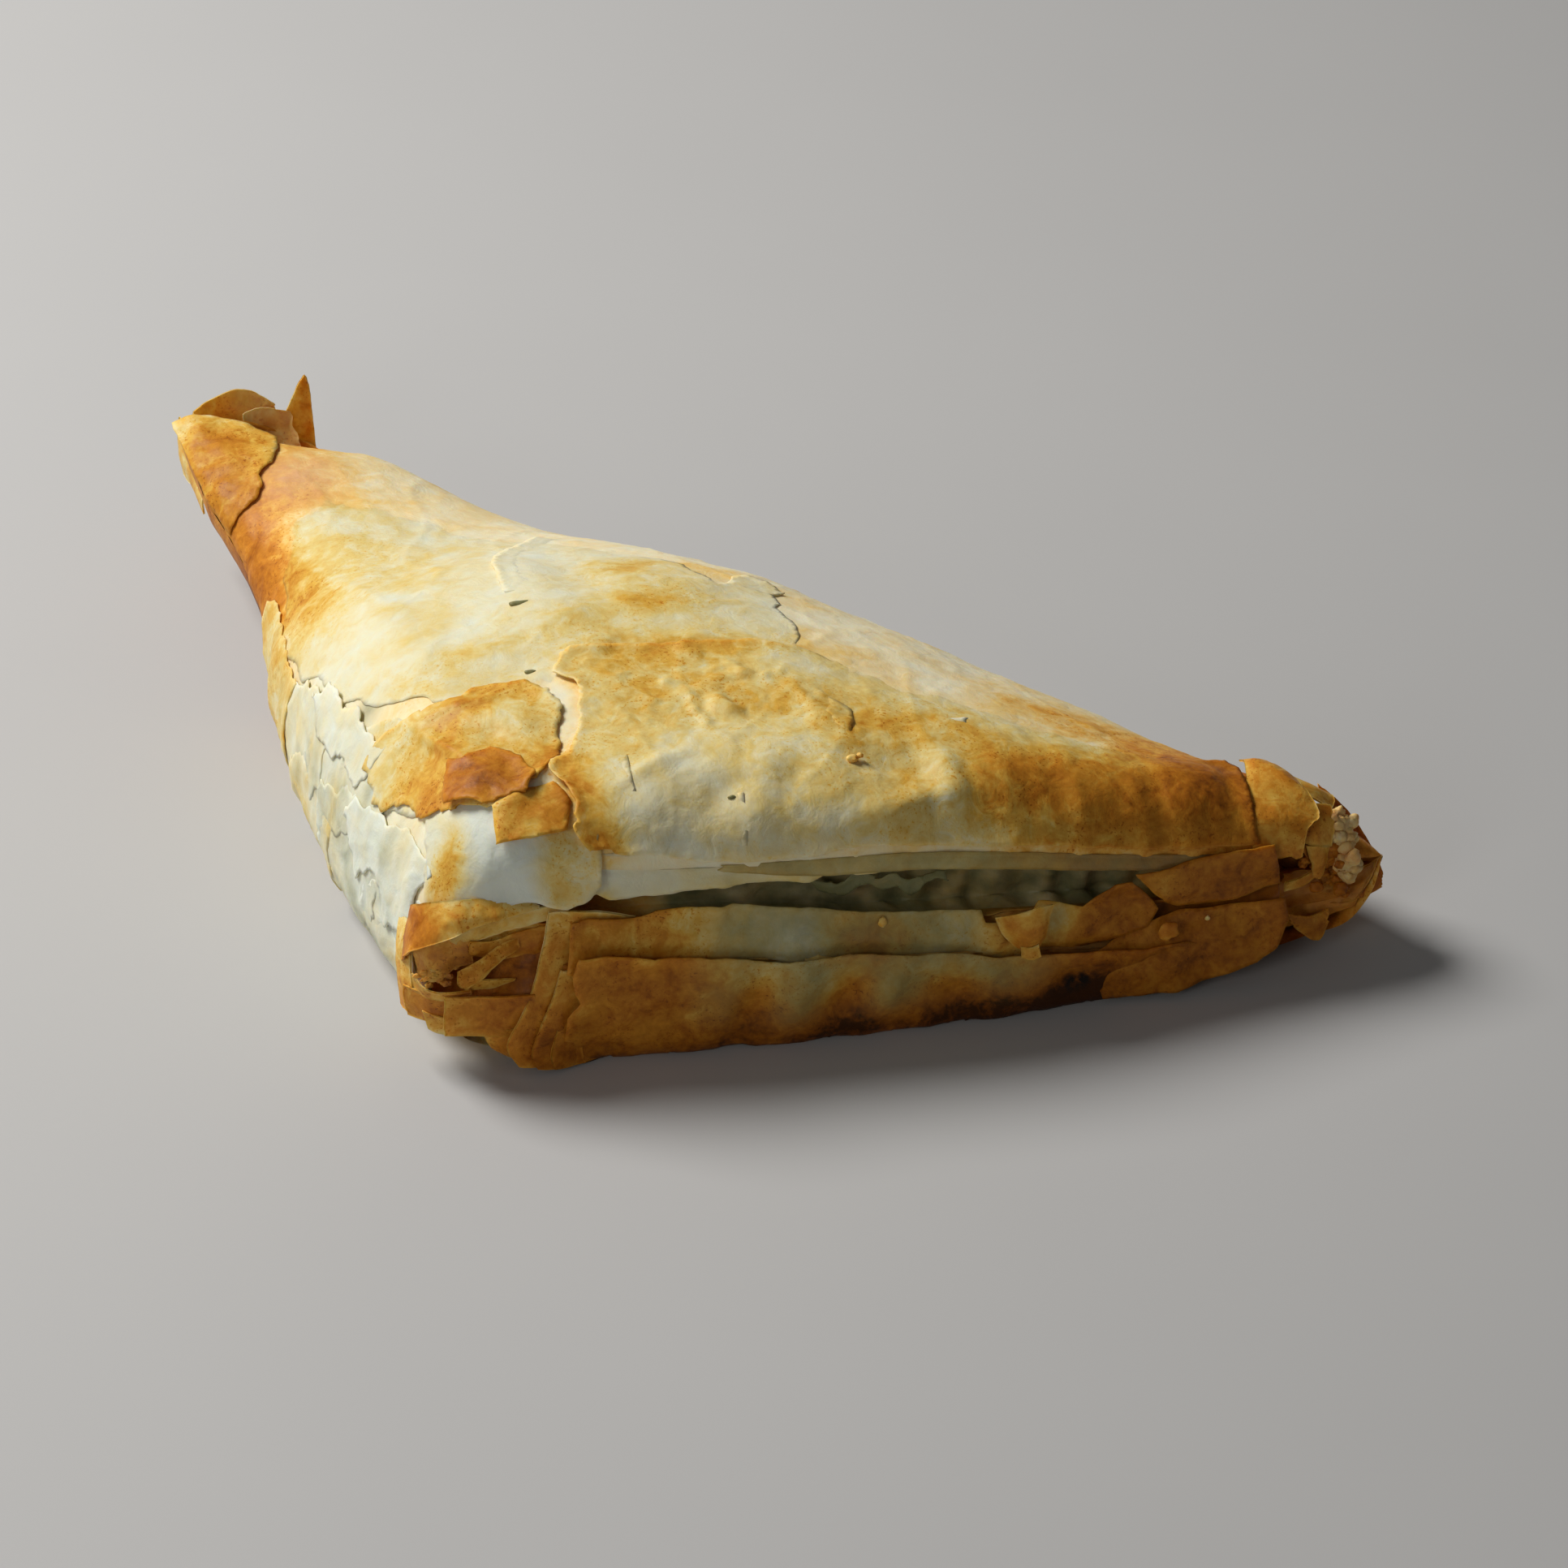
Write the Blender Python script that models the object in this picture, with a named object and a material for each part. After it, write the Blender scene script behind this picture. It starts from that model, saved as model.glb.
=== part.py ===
"""A large spinach and cheese triangle (spanakopita), folded from a strip of filo and baked.

The pie lies flat on a table. Its front leg runs along +X with the open, layered side facing -Y, its left leg
runs towards +Y and ends in a folded tip that stands clear of the table, and +Z is up. The body is a loft of
sections that run from the front leg to the long back fold. Leaves of filo that show as steps, hanging
flaps and torn flakes are thin solids of their own shape, joined to the body by one Boolean union.

Lengths are in millimetres and become metres where a mesh is made.
"""

import math

import bmesh
import bpy
import numpy as np
from mathutils import Vector, geometry, noise

MM = 0.001
NODE_NAME = "spanakopita"

# Plan: the front-left corner is the origin of the sizes below.
FRONT_LEG = 130.0
TIP_OUTER = np.array([-16.5, 131.5])  # left end of the square-cut back tip
TIP_INNER = np.array([3.5, 130.0])  # its right end, where the long back fold starts
RIGHT_INNER = np.array([123.0, 13.0])  # where the long back fold ends, at the right corner
FRONT_BULGE = 5.0
BACK_BULGE = 3.0
LEFT_SWELL = 3.0  # the left side is full near the front
LEFT_WAIST = 2.4  # and drawn in under the tip
PLAN_CENTRE = np.array([56.8, 64.2])  # middle of the finished pie's box

# Heights, at stations along the front leg given as shares of its length.
STATIONS = (0.0, 0.1, 0.25, 0.45, 0.65, 0.85, 1.0)
SECOND_FOLD = (14.5, 16.0, 16.0, 13.5, 10.5, 6.5, 4.0)
LOWER_LIP = (20.0, 21.0, 21.5, 18.5, 16.0, 12.0, 7.0)
UPPER_LIP = (25.0, 29.5, 29.0, 27.0, 23.0, 16.5, 11.0)
CROWN = (35.0, 37.0, 38.5, 37.5, 33.5, 27.5, 19.0)
TIP_CROWN = 15.0
TIP_REACH = 95.0  # the crown falls to the tip's over this distance
FOLD_HEIGHT = 10.0  # the folded edge round the left, back and right sides

# Roundings from an edge inwards.
LEFT_ROUND = 15.0
RIGHT_ROUND = 6.0
BACK_ROUND = 52.0
FRONT_ROUND = 12.0
UNDER_ROUND = 9.0

# Corners that baking has lifted off the table: (centre, reach, lift).
TIP_LIFT = (np.array([-10.5, 131.5]), 62.0, 12.5)
RIGHT_LIFT = (np.array([130.0, 0.0]), 40.0, 4.0)
LEFT_LIFT = (np.array([0.0, 0.0]), 26.0, 3.0)

# The open mouth between the upper and the lower folds of the front.
MOUTH_DEPTH = 5.5
LIP_THICKNESS = 1.0
LOWER_BULGE = 1.8

# The outer layers stop short of the right corner, where only the rolled core goes on to the point.
CORE_FROM = 118.4
CORE_SETBACK = 2.6
CORE_DROP = 1.3

# The folded ends of the layers leave a pocket at the front-left corner.
POCKET_TO = 15.5
POCKET_SETBACK = 3.6

# Mesh density.
LEFT_ROWS = 7
MIDDLE_ROWS = 30
RIGHT_ROWS = 4
ACROSS = 18

LEAF = 0.8  # how far a joined leaf stands out
SINK = 1.7  # how deep it reaches into what it lies on
GRAIN = 4.0  # spacing of points inside a leaf
EDGE_GRAIN = 2.6  # spacing of points along its torn edge
SAND = (0.86, 0.66, 0.36, 1.0)


def along(u, values):
    """A smooth curve through values at the stations."""
    x = np.asarray(STATIONS)
    y = np.asarray(values, float)
    step = np.diff(x)
    slope = np.diff(y) / step
    inner = (slope[:-1] * step[1:] + slope[1:] * step[:-1]) / (step[1:] + step[:-1])
    tangent = np.concatenate([slope[:1], inner, slope[-1:]])
    i = np.clip(np.searchsorted(x, u) - 1, 0, len(step) - 1)
    t = (u - x[i]) / step[i]
    h = step[i]
    return (
        (2 * t**3 - 3 * t**2 + 1) * y[i]
        + (t**3 - 2 * t**2 + t) * h * tangent[i]
        + (3 * t**2 - 2 * t**3) * y[i + 1]
        + (t**3 - t**2) * h * tangent[i + 1]
    )


def rounding(distance, radius):
    """The height share of a quarter ellipse, 0 at the edge and 1 from radius inwards."""
    return np.sqrt(np.clip(1 - (1 - np.clip(distance / radius, 0, 1)) ** 2, 0, 1))


def front_edge(u):
    """The foot of the front face, from the front-left corner (u = 0) to the right corner (u = 1)."""
    bulge = FRONT_BULGE * np.sin(math.pi * np.clip(u, 0, 1)) ** 0.8
    return np.stack([FRONT_LEG * u, -bulge], -1)


def back_edge(u):
    """The far end of the section that starts at front_edge(u): first along the cut tip, then the back fold."""
    turn = (TIP_INNER[0] - TIP_OUTER[0] * TIP_INNER[1] / TIP_OUTER[1]) / FRONT_LEG
    on_tip = np.clip(u / turn, 0, 1)[..., None]
    on_fold = np.clip((u - turn) / (1 - turn), 0, 1)[..., None]
    run = RIGHT_INNER - TIP_INNER
    outward = np.array([-run[1], run[0]]) / np.hypot(*run)
    fold = TIP_INNER + run * on_fold + outward * BACK_BULGE * np.sin(math.pi * on_fold)
    tip = TIP_OUTER + (TIP_INNER - TIP_OUTER) * on_tip
    return np.where(u[..., None] < turn, tip, fold)


def corner_lift(plan):
    """How far the baked corners have curled up off the table."""
    total = 0.0
    for centre, reach, height in (TIP_LIFT, RIGHT_LIFT, LEFT_LIFT):
        near = np.clip(np.hypot(*(plan - centre).T) / reach, 0, 1).T
        total = total + height * (1 - near) ** 2 * (1 + 2 * near)
    return total


def section(u, v):
    """Plan point, section width and left and right distances, v millimetres in from the front edge."""
    front, back = front_edge(u), back_edge(u)
    width = np.linalg.norm(back - front, axis=-1)
    share = np.clip(v / width, 0, 1)
    plan = front + (back - front) * share[..., None]
    swell = LEFT_SWELL * np.sin(math.pi * np.clip(share / 0.62, 0, 1))
    waist = LEFT_WAIST * np.sin(math.pi * np.clip((share - 0.58) / 0.28, 0, 1))
    fade = np.clip(1 - u / 0.35, 0, 1) ** 2
    plan = plan - np.stack([(swell - waist) * fade, 0 * u], -1)
    return plan, width


def top_height(u, v, plan, width):
    """Height of the pie's upper skin."""
    near_tip = np.clip(np.hypot(*(plan - (TIP_OUTER + TIP_INNER) / 2).T) / TIP_REACH, 0, 1).T
    rise = near_tip**2 * (3 - 2 * near_tip) ** 0.9
    crown = TIP_CROWN + (along(u, CROWN) - TIP_CROWN) * rise
    back_distance = (width - v) * 0.72
    inner = FOLD_HEIGHT + (crown - FOLD_HEIGHT) * rounding(back_distance, BACK_ROUND)
    lip = along(u, UPPER_LIP)
    height = np.where(inner < lip, inner, lip + (inner - lip) * rounding(v, FRONT_ROUND))
    return FOLD_HEIGHT + (height - FOLD_HEIGHT) * end_share(u)


def end_share(u):
    """1 in the middle of the pie, falling to 0 where the left and right ends round over."""
    return rounding(u * FRONT_LEG, LEFT_ROUND) * rounding((1 - u) * FRONT_LEG, RIGHT_ROUND)


def under_height(u, v, width):
    """Height of the underside: flat on the table, rising to the folded edge at the back and ends."""
    edge = rounding((width - v) * 0.72, UNDER_ROUND) * rounding(u * FRONT_LEG, UNDER_ROUND)
    return FOLD_HEIGHT * (1 - edge * rounding((1 - u) * FRONT_LEG, RIGHT_ROUND))


def core(q):
    """0 where the outer layers wrap the pie, 1 beyond them at the right corner."""
    return np.clip((q - CORE_FROM) / 0.7, 0, 1)


def pocket(q):
    """1 inside the pocket at the front-left corner, 0 right of it."""
    return np.clip((q - 1.5) / 3.0, 0, 1) * np.clip((POCKET_TO - q) / 0.8, 0, 1)


def crumple(plan):
    """Soft blisters and dents of the baked skin."""
    value = np.zeros(plan.shape[:-1])
    for index in np.ndindex(value.shape):
        x, y = plan[index]
        value[index] = noise.fractal(Vector((x / 17, y / 13, 3.7)), 0.9, 2.0, 2)
    return 0.9 * value


def top_point(u, v):
    plan, width = section(u, v)
    height = top_height(u, v, plan, width)
    bumps = crumple(plan) * end_share(u) * rounding(v, 6.0) * rounding(width - v, 12.0)
    bumps = bumps - CORE_DROP * core(u * FRONT_LEG) * end_share(u)
    return np.concatenate([plan, (height + bumps + corner_lift(plan))[..., None]], -1)


def front_profile(u):
    """Columns of the front wall from the upper lip down to the foot, as (depth, height)."""
    second, low, up = along(u, SECOND_FOLD), along(u, LOWER_LIP), along(u, UPPER_LIP)
    outer = -LOWER_BULGE
    back = POCKET_SETBACK * pocket(u * FRONT_LEG)
    mouth = MOUTH_DEPTH * (1 - 0.6 * core(u * FRONT_LEG))
    return (
        (0.0 * u, up),
        (LIP_THICKNESS + 0 * u, up - 0.4),
        (mouth, up + 0.6),
        (mouth - 1.0, (low + up) / 2),
        (mouth, low - 2.0),
        (LIP_THICKNESS + 0.3 + back, low - 1.2),
        (LIP_THICKNESS + back * 0.9, low - 0.1),
        (0.0 + back * 0.9, low),
        (outer * 0.5 + back, (low + second) / 2),
        (outer * 0.7 + back, second + 0.2),
        (outer * 0.7 + back - LEAF, second),
        (outer + back - LEAF, second * 0.55),
        (outer - 0.2 + back * 0.6, second * 0.22),
    )


def wall_point(u, depth, height):
    """A point of the front wall, depth millimetres behind the front edge and height above its foot."""
    inset = (depth + CORE_SETBACK * core(u * FRONT_LEG)) * end_share(u)
    plan, _ = section(u, np.clip(inset, 0, None))
    plan[..., 1] += np.clip(inset, None, 0)
    height = FOLD_HEIGHT + (height - FOLD_HEIGHT) * end_share(u)
    return np.concatenate([plan, (height + corner_lift(plan))[..., None]], -1)


def skin(points):
    """Chart of the upper skin: (q along the front, arc back over the lip); below 0 hangs down from the lip."""
    q, arc = points[..., 0], points[..., 1]
    u = np.clip(q / FRONT_LEG, 0, 1)
    over = np.clip(arc / FRONT_ROUND, 0, math.pi / 2)
    v = FRONT_ROUND * (1 - np.cos(over)) + np.clip(arc - FRONT_ROUND * math.pi / 2, 0, None)
    made = top_point(u, v)
    made[..., 2] += np.clip(arc, None, 0)
    return made


def unrolled(outline):
    """The outline of a skin leaf, with its distances from the front edge turned into arcs over the lip."""
    made = []
    for q, v, share in outline:
        over = math.acos(1 - min(max(v, 0.0), FRONT_ROUND) / FRONT_ROUND)
        made.append((q, FRONT_ROUND * over + max(v - FRONT_ROUND, 0.0) + min(v, 0.0), share))
    return made


def wall(points):
    """Chart of the lower front wall: (q along the front, h above the foot)."""
    q, h = points[..., 0], points[..., 1]
    u = np.clip(q / FRONT_LEG, 0.03, 1)
    second, low = along(u, SECOND_FOLD), along(u, LOWER_LIP)
    share = np.clip(h / low, 0, 1)
    depth = -LOWER_BULGE * np.sin(math.pi * np.clip(share, 0.1, 1)) ** 0.6 - LEAF * (h < second)
    plan = front_edge(q / FRONT_LEG)
    plan = plan + np.stack([0 * q, depth + 0 * q], -1)
    return np.concatenate([plan, (h + corner_lift(plan))[..., None]], -1)


def left_side(points):
    """Chart of the left side: (v back from the front corner, h above the table)."""
    v, h = points[..., 0], points[..., 1]
    zero = 0 * v
    plan, width = section(zero + LEFT_ROUND / FRONT_LEG, v)
    shoulder = top_height(zero + LEFT_ROUND / FRONT_LEG, v, plan, width)
    above = np.clip((h - FOLD_HEIGHT) / (shoulder - FOLD_HEIGHT), 0, 0.995)
    below = np.clip((FOLD_HEIGHT - h) / FOLD_HEIGHT, 0, 0.9)
    q = np.where(
        h > FOLD_HEIGHT,
        LEFT_ROUND * (1 - np.sqrt(1 - above**2)),
        UNDER_ROUND * (1 - np.sqrt(1 - below**2)),
    )
    plan, _ = section(q / FRONT_LEG, v)
    return np.concatenate([plan, (h + corner_lift(plan))[..., None]], -1)


def torn(outline, ragged, seed):
    """A closed outline with points every few millimetres, moved in and out like a torn edge."""
    corners = np.asarray(outline, float)
    made = []
    for i, (start, end) in enumerate(zip(corners, np.roll(corners, -1, axis=0))):
        steps = max(1, int(round(np.hypot(*(end - start)[:2]) / EDGE_GRAIN)))
        for k in range(steps):
            point = start + (end - start) * k / steps
            wave = noise.noise(Vector((point[0] / 2.3, point[1] / 2.3, seed * 7.1)))
            across = np.array([-(end - start)[1], (end - start)[0]]) / np.hypot(*(end - start)[:2])
            made.append([*(point[:2] + across * wave * ragged * 1.6), point[2]])
    return np.array(made)


def inside(points, outline):
    """Which points lie inside a closed outline."""
    x, y = points[:, 0], points[:, 1]
    hit = np.zeros(len(points), bool)
    for (x0, y0), (x1, y1) in zip(outline, np.roll(outline, -1, axis=0)):
        crosses = (y0 > y) != (y1 > y)
        hit ^= crosses & (x < (x1 - x0) * (y - y0) / (y1 - y0 + 1e-12) + x0)
    return hit


def leaf(name, chart, outline, seed, ragged=0.5, lift=LEAF, sink=SINK, outward=None):
    """A thin torn solid that follows a chart: each outline corner is (x, y, share of the lift there)."""
    edge = torn(outline, ragged, seed)
    low, high = edge[:, :2].min(0), edge[:, :2].max(0)
    gx, gy = np.meshgrid(
        np.arange(low[0] + GRAIN / 2, high[0], GRAIN), np.arange(low[1] + GRAIN / 2, high[1], GRAIN)
    )
    inner = np.stack([gx.ravel(), gy.ravel()], -1)
    inner = inner[inside(inner, edge[:, :2])]
    gap = np.linalg.norm(inner[:, None] - edge[None, :, :2], axis=-1).min(1)
    inner = inner[gap > GRAIN * 0.5]
    flat = np.concatenate([edge[:, :2], inner])
    share = np.concatenate([edge[:, 2], np.ones(len(inner))])
    found = geometry.delaunay_2d_cdt(
        [Vector(p) for p in flat], [], [list(range(len(edge)))], 1, 1e-6
    )
    flat = np.array([tuple(p) for p in found[0]])
    came_from = [ids[0] if ids else 0 for ids in found[3]]
    share = share[came_from]
    triangles = [tuple(f) for f in found[2]]
    step = 0.6
    base = chart(flat)
    along_x = chart(flat + [step, 0]) - chart(flat - [step, 0])
    along_y = chart(flat + [0, step]) - chart(flat - [0, step])
    normal = np.cross(along_x, along_y)
    normal /= np.linalg.norm(normal, axis=1)[:, None] + 1e-9
    facing = outward if outward is not None else np.array([0.0, 0.0, 1.0])
    if (normal @ facing).mean() < 0:
        normal = -normal
    top = base + normal * (lift * share)[:, None]
    under = base - normal * sink
    count = len(flat)
    used = {}
    for a, b, c in triangles:
        for pair in ((a, b), (b, c), (c, a)):
            used[pair] = True
    rim = [pair for pair in used if (pair[1], pair[0]) not in used]
    faces = [tuple(t) for t in triangles]
    faces += [tuple(i + count for i in reversed(t)) for t in triangles]
    faces += [(b, a, a + count, b + count) for a, b in rim]
    return mesh_object(name, placed(np.concatenate([top, under])), faces)


def sheet(name, rows, thickness):
    """A free curved sheet through rows of points, with a constant thickness."""
    grid = np.asarray(rows, float)
    along_rows = np.gradient(grid, axis=0)
    along_columns = np.gradient(grid, axis=1)
    normal = np.cross(along_rows, along_columns)
    normal /= np.linalg.norm(normal, axis=-1)[..., None]
    r, c = grid.shape[:2]
    sides = np.stack([grid + normal * thickness / 2, grid - normal * thickness / 2])
    at = np.arange(2 * r * c).reshape(2, r, c)
    faces = []
    for i in range(r - 1):
        for j in range(c - 1):
            faces.append((at[0, i, j], at[0, i, j + 1], at[0, i + 1, j + 1], at[0, i + 1, j]))
            faces.append((at[1, i, j], at[1, i + 1, j], at[1, i + 1, j + 1], at[1, i, j + 1]))
    for i in range(r - 1):
        faces.append((at[0, i, 0], at[0, i + 1, 0], at[1, i + 1, 0], at[1, i, 0]))
        faces.append((at[0, i, -1], at[1, i, -1], at[1, i + 1, -1], at[0, i + 1, -1]))
    for j in range(c - 1):
        faces.append((at[0, 0, j], at[1, 0, j], at[1, 0, j + 1], at[0, 0, j + 1]))
        faces.append((at[0, -1, j], at[0, -1, j + 1], at[1, -1, j + 1], at[1, -1, j]))
    faces = [tuple(int(i) for i in f) for f in faces]
    return mesh_object(name, placed(sides.reshape(-1, 3)), faces)


def row_stations():
    """Where sections are taken, closer together where the two ends round over."""
    left = LEFT_ROUND * (1 - np.cos(np.linspace(0, math.pi / 2, LEFT_ROWS + 1)))
    right = FRONT_LEG - RIGHT_ROUND * (1 - np.cos(np.linspace(0, math.pi / 2, RIGHT_ROWS + 1)))
    middle = np.linspace(left[-1], right[-1], MIDDLE_ROWS + 1)[1:-1]
    return np.concatenate([left, middle, right[::-1]]) / FRONT_LEG


def mesh_object(name, points, faces):
    mesh = bpy.data.meshes.new(name)
    mesh.from_pydata([tuple(p) for p in points], [], faces)
    shaper = bmesh.new()
    shaper.from_mesh(mesh)
    bmesh.ops.remove_doubles(shaper, verts=shaper.verts, dist=0.02 * MM)
    bmesh.ops.dissolve_degenerate(shaper, edges=shaper.edges, dist=0.01 * MM)
    bmesh.ops.triangulate(shaper, faces=shaper.faces)
    bmesh.ops.recalc_face_normals(shaper, faces=shaper.faces)
    if shaper.calc_volume(signed=True) < 0:
        bmesh.ops.reverse_faces(shaper, faces=shaper.faces)
    shaper.to_mesh(mesh)
    shaper.free()
    made = bpy.data.objects.new(name, mesh)
    return made


def placed(points):
    """Millimetres from the front-left corner to metres from the middle of the pie's foot."""
    return (points - np.array([*PLAN_CENTRE, 0.0])) * MM


def ring_faces(rows, columns):
    return [
        (
            i * columns + j,
            i * columns + (j + 1) % columns,
            (i + 1) * columns + (j + 1) % columns,
            (i + 1) * columns + j,
        )
        for i in range(rows - 1)
        for j in range(columns)
    ]


def make_body():
    """The loft: each section runs back fold, crown, mouth, foot and underside, and the two ends close to a seam."""
    u = row_stations()
    share = (1 - np.cos(np.linspace(0, math.pi, ACROSS + 1))) / 2
    columns = []
    _, width = section(u, 0 * u)
    for s in share[::-1]:
        columns.append(top_point(u, s * width))
    for depth, height in front_profile(u)[1:]:
        columns.append(wall_point(u, depth, height))
    for s in share[:-1]:
        v = s * width
        plan, _ = section(u, v)
        height = under_height(u, v, width) + corner_lift(plan)
        columns.append(np.concatenate([plan, height[..., None]], -1))
    grid = np.stack(columns, 1)
    faces = ring_faces(grid.shape[0], grid.shape[1])
    return mesh_object("body", placed(grid.reshape(-1, 3)), faces)


SKIN_LEAVES = {
    "front_sheet": (
        ((18.5, -0.9, 1.0), (19.5, 3.6, 1.2), (22.0, 9.1, 1.4), (24.5, 17.9, 1.6), (26.5, 27.5, 1.3))
        + ((33.5, 34.9, 1.1), (42.0, 41.7, 1.1), (51.0, 42.0, 1.0), (57.5, 41.6, 0.9), (62.0, 39.6, 0.4))
        + ((76.0, 31.0, -0.5), (92.0, 22.0, -0.5), (106.0, 14.0, -0.3), (116.0, 9.5, 0.9))
        + ((121.5, 6.5, 1.2), (121.0, -0.9, 1.2), (100.0, -1.0, 1.1), (78.0, -0.9, 1.1))
        + ((58.0, -1.0, 1.1), (38.0, -0.9, 1.0))
    ),
    "browned_flake": (
        ((5.5, 27.7, 1.0), (12.5, 29.6, 1.0), (20.5, 32.2, 1.0), (27.0, 30.0, 0.6), (25.0, 14.4, 0.4))
        + ((19.5, 4.6, 0.5), (11.5, 1.5, 1.0), (10.0, 4.6, 1.0), (6.5, 15.9, 1.0), (4.5, 24.0, 1.0))
    ),
    "torn_flake": (
        ((64.0, 80.0, 0.2), (72.0, 72.0, 0.4), (70.0, 64.0, 1.3), (62.0, 69.0, 1.6), (57.0, 77.0, 1.4))
    ),
    "middle_curl": (
        ((60.5, 25.0, 1.0), (64.0, 20.0, 1.4), (65.5, 14.0, 1.6), (68.0, 17.0, 0.4), (64.0, 27.0, 0.4))
    ),
    "blistered_patch": (
        ((31.0, 80.0, 1.2), (33.0, 71.0, 1.4), (31.5, 60.0, 1.2), (28.5, 49.0, 1.0), (37.0, 52.0, 0.1))
        + ((40.0, 66.0, 0.1), (37.0, 78.0, 0.2))
    ),
    "tip_cuff": (
        ((14.0, 124.0, 1.4), (9.0, 114.0, 1.5), (5.5, 104.9, 1.4), (3.0, 97.0, 0.9), (1.2, 99.0, 0.6))
        + ((1.0, 112.0, 0.6), (1.2, 128.0, 0.6), (6.0, 129.5, 0.8), (14.0, 129.0, 0.8))
    ),
}
WALL_LEAVES = {
    "first_pleat": (
        ((16.5, 1.2, 0.6), (17.5, 11.0, 0.8), (19.0, 22.0, 0.9), (30.0, 21.8, 0.0), (30.0, 2.0, 0.0))
    ),
    "second_pleat": (
        ((20.0, 1.5, 1.8), (20.8, 11.0, 2.0), (22.3, 20.0, 2.0), (34.0, 19.5, 0.2), (34.0, 2.0, 0.2))
    ),
    "third_pleat": (
        ((23.0, 1.5, 2.9), (23.4, 9.0, 3.0), (24.6, 13.5, 3.0), (40.0, 12.5, 0.3), (40.0, 2.0, 0.3))
    ),
    "corner_fold": (
        ((5.5, 0.6, 0.2), (6.0, 8.2, 0.2), (17.0, 10.0, 0.0), (19.0, 8.0, 0.0), (17.0, 0.8, 0.0))
    ),
    "notch_curl": (
        ((84.0, 12.2, 0.6), (86.0, 15.2, 1.9), (91.0, 16.8, 2.1), (94.0, 14.0, 1.4), (90.0, 11.5, 0.3))
    ),
    "upper_cuff": (
        ((96.0, 13.4, 0.8), (108.0, 13.2, 1.0), (118.2, 12.2, 1.6), (118.8, 6.6, 1.6), (108.0, 7.6, 0.7))
        + ((95.0, 9.3, 0.3),)
    ),
    "lower_cuff": (
        ((92.0, 5.4, 0.5), (106.0, 5.2, 0.8), (118.4, 4.6, 1.5), (118.0, 0.4, 1.2), (104.0, 0.8, 0.5))
        + ((92.0, 1.2, 0.1),)
    ),
}
LEFT_LEAVES = {
    "upper_rag": (
        ((50.0, 24.0, 0.0), (66.0, 20.0, 0.2), (74.0, 13.0, 1.2), (64.0, 8.0, 1.6), (52.0, 12.0, 1.5))
        + ((46.0, 19.0, 1.2),)
    ),
    "middle_rag": (
        ((22.0, 26.0, 0.0), (38.0, 26.0, 0.2), (49.0, 19.0, 1.1), (50.0, 8.0, 1.8), (38.0, 5.0, 1.9))
        + ((27.0, 9.0, 1.6), (20.0, 18.0, 1.1))
    ),
    "lower_rag": (
        ((6.0, 24.0, 0.1), (18.0, 24.0, 0.2), (26.0, 15.0, 1.1), (28.0, 5.0, 1.6), (17.0, 3.5, 1.8))
        + ((8.0, 6.0, 1.4), (3.0, 14.0, 0.8))
    ),
}
# The far wall of the open tip, and the spike at its right end: rows from the root up.
TIP_WALL = (
    ((-11.5, 126.5, 17.5), (-7.0, 126.8, 17.0), (-2.0, 126.6, 16.8), (2.5, 126.4, 17.0), (5.0, 125.5, 17.5)),
    ((-12.0, 130.5, 21.0), (-7.2, 131.0, 20.5), (-2.0, 131.0, 20.3), (3.0, 130.3, 20.5), (5.8, 128.8, 21.0)),
    ((-12.0, 133.2, 24.6), (-7.5, 134.4, 24.8), (-2.0, 134.2, 24.6), (3.4, 132.4, 25.0), (6.2, 130.0, 25.5)),
    ((-11.6, 134.0, 26.2), (-7.5, 136.0, 27.2), (-2.0, 135.6, 26.0), (3.6, 133.0, 27.8), (5.6, 131.0, 30.2)),
)
# Rolled layers inside the front-left pocket: (start, end, start radius, end radius).
POCKET_ROLLS = (
    ((2.0, -0.2, 11.5), (17.0, -1.0, 16.0), 2.4, 1.5),
    ((3.0, -1.2, 8.6), (12.5, -3.0, 11.4), 1.7, 1.1),
    ((5.0, 0.8, 15.5), (17.5, -0.5, 19.0), 1.6, 1.2),
)


def roll(name, start, end, wide, narrow):
    """A tapered six-sided roll of filo."""
    start, end = np.array(start), np.array(end)
    axis = (end - start) / np.linalg.norm(end - start)
    side = np.cross(axis, [0, 0, 1.0])
    side /= np.linalg.norm(side)
    upright = np.cross(side, axis)
    points = []
    for centre, radius in ((start, wide), (end, narrow)):
        for k in range(7):
            angle = 2 * math.pi * k / 7
            points.append(centre + radius * (side * math.cos(angle) + upright * math.sin(angle)))
    faces = [(k, (k + 1) % 7, 7 + (k + 1) % 7, 7 + k) for k in range(7)]
    faces += [tuple(range(6, -1, -1)), tuple(range(7, 14))]
    return mesh_object(name, placed(np.array(points)), faces)


def make_leaves():
    made = []
    for seed, (name, outline) in enumerate(SKIN_LEAVES.items()):
        made.append(leaf(name, skin, unrolled(outline), seed + 1))
    for seed, (name, outline) in enumerate(WALL_LEAVES.items()):
        front = np.array([0.0, -1.0, 0.0])
        made.append(leaf(name, wall, outline, seed + 11, 0.25, outward=front))
    for seed, (name, outline) in enumerate(LEFT_LEAVES.items()):
        left = np.array([-1.0, 0.0, 0.3])
        made.append(leaf(name, left_side, outline, seed + 21, 0.8, outward=left))
    made.append(sheet("tip_wall", TIP_WALL, 1.1))
    for k, (start, end, wide, narrow) in enumerate(POCKET_ROLLS):
        made.append(roll(f"pocket_roll_{k}", start, end, wide, narrow))
    return made


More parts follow.
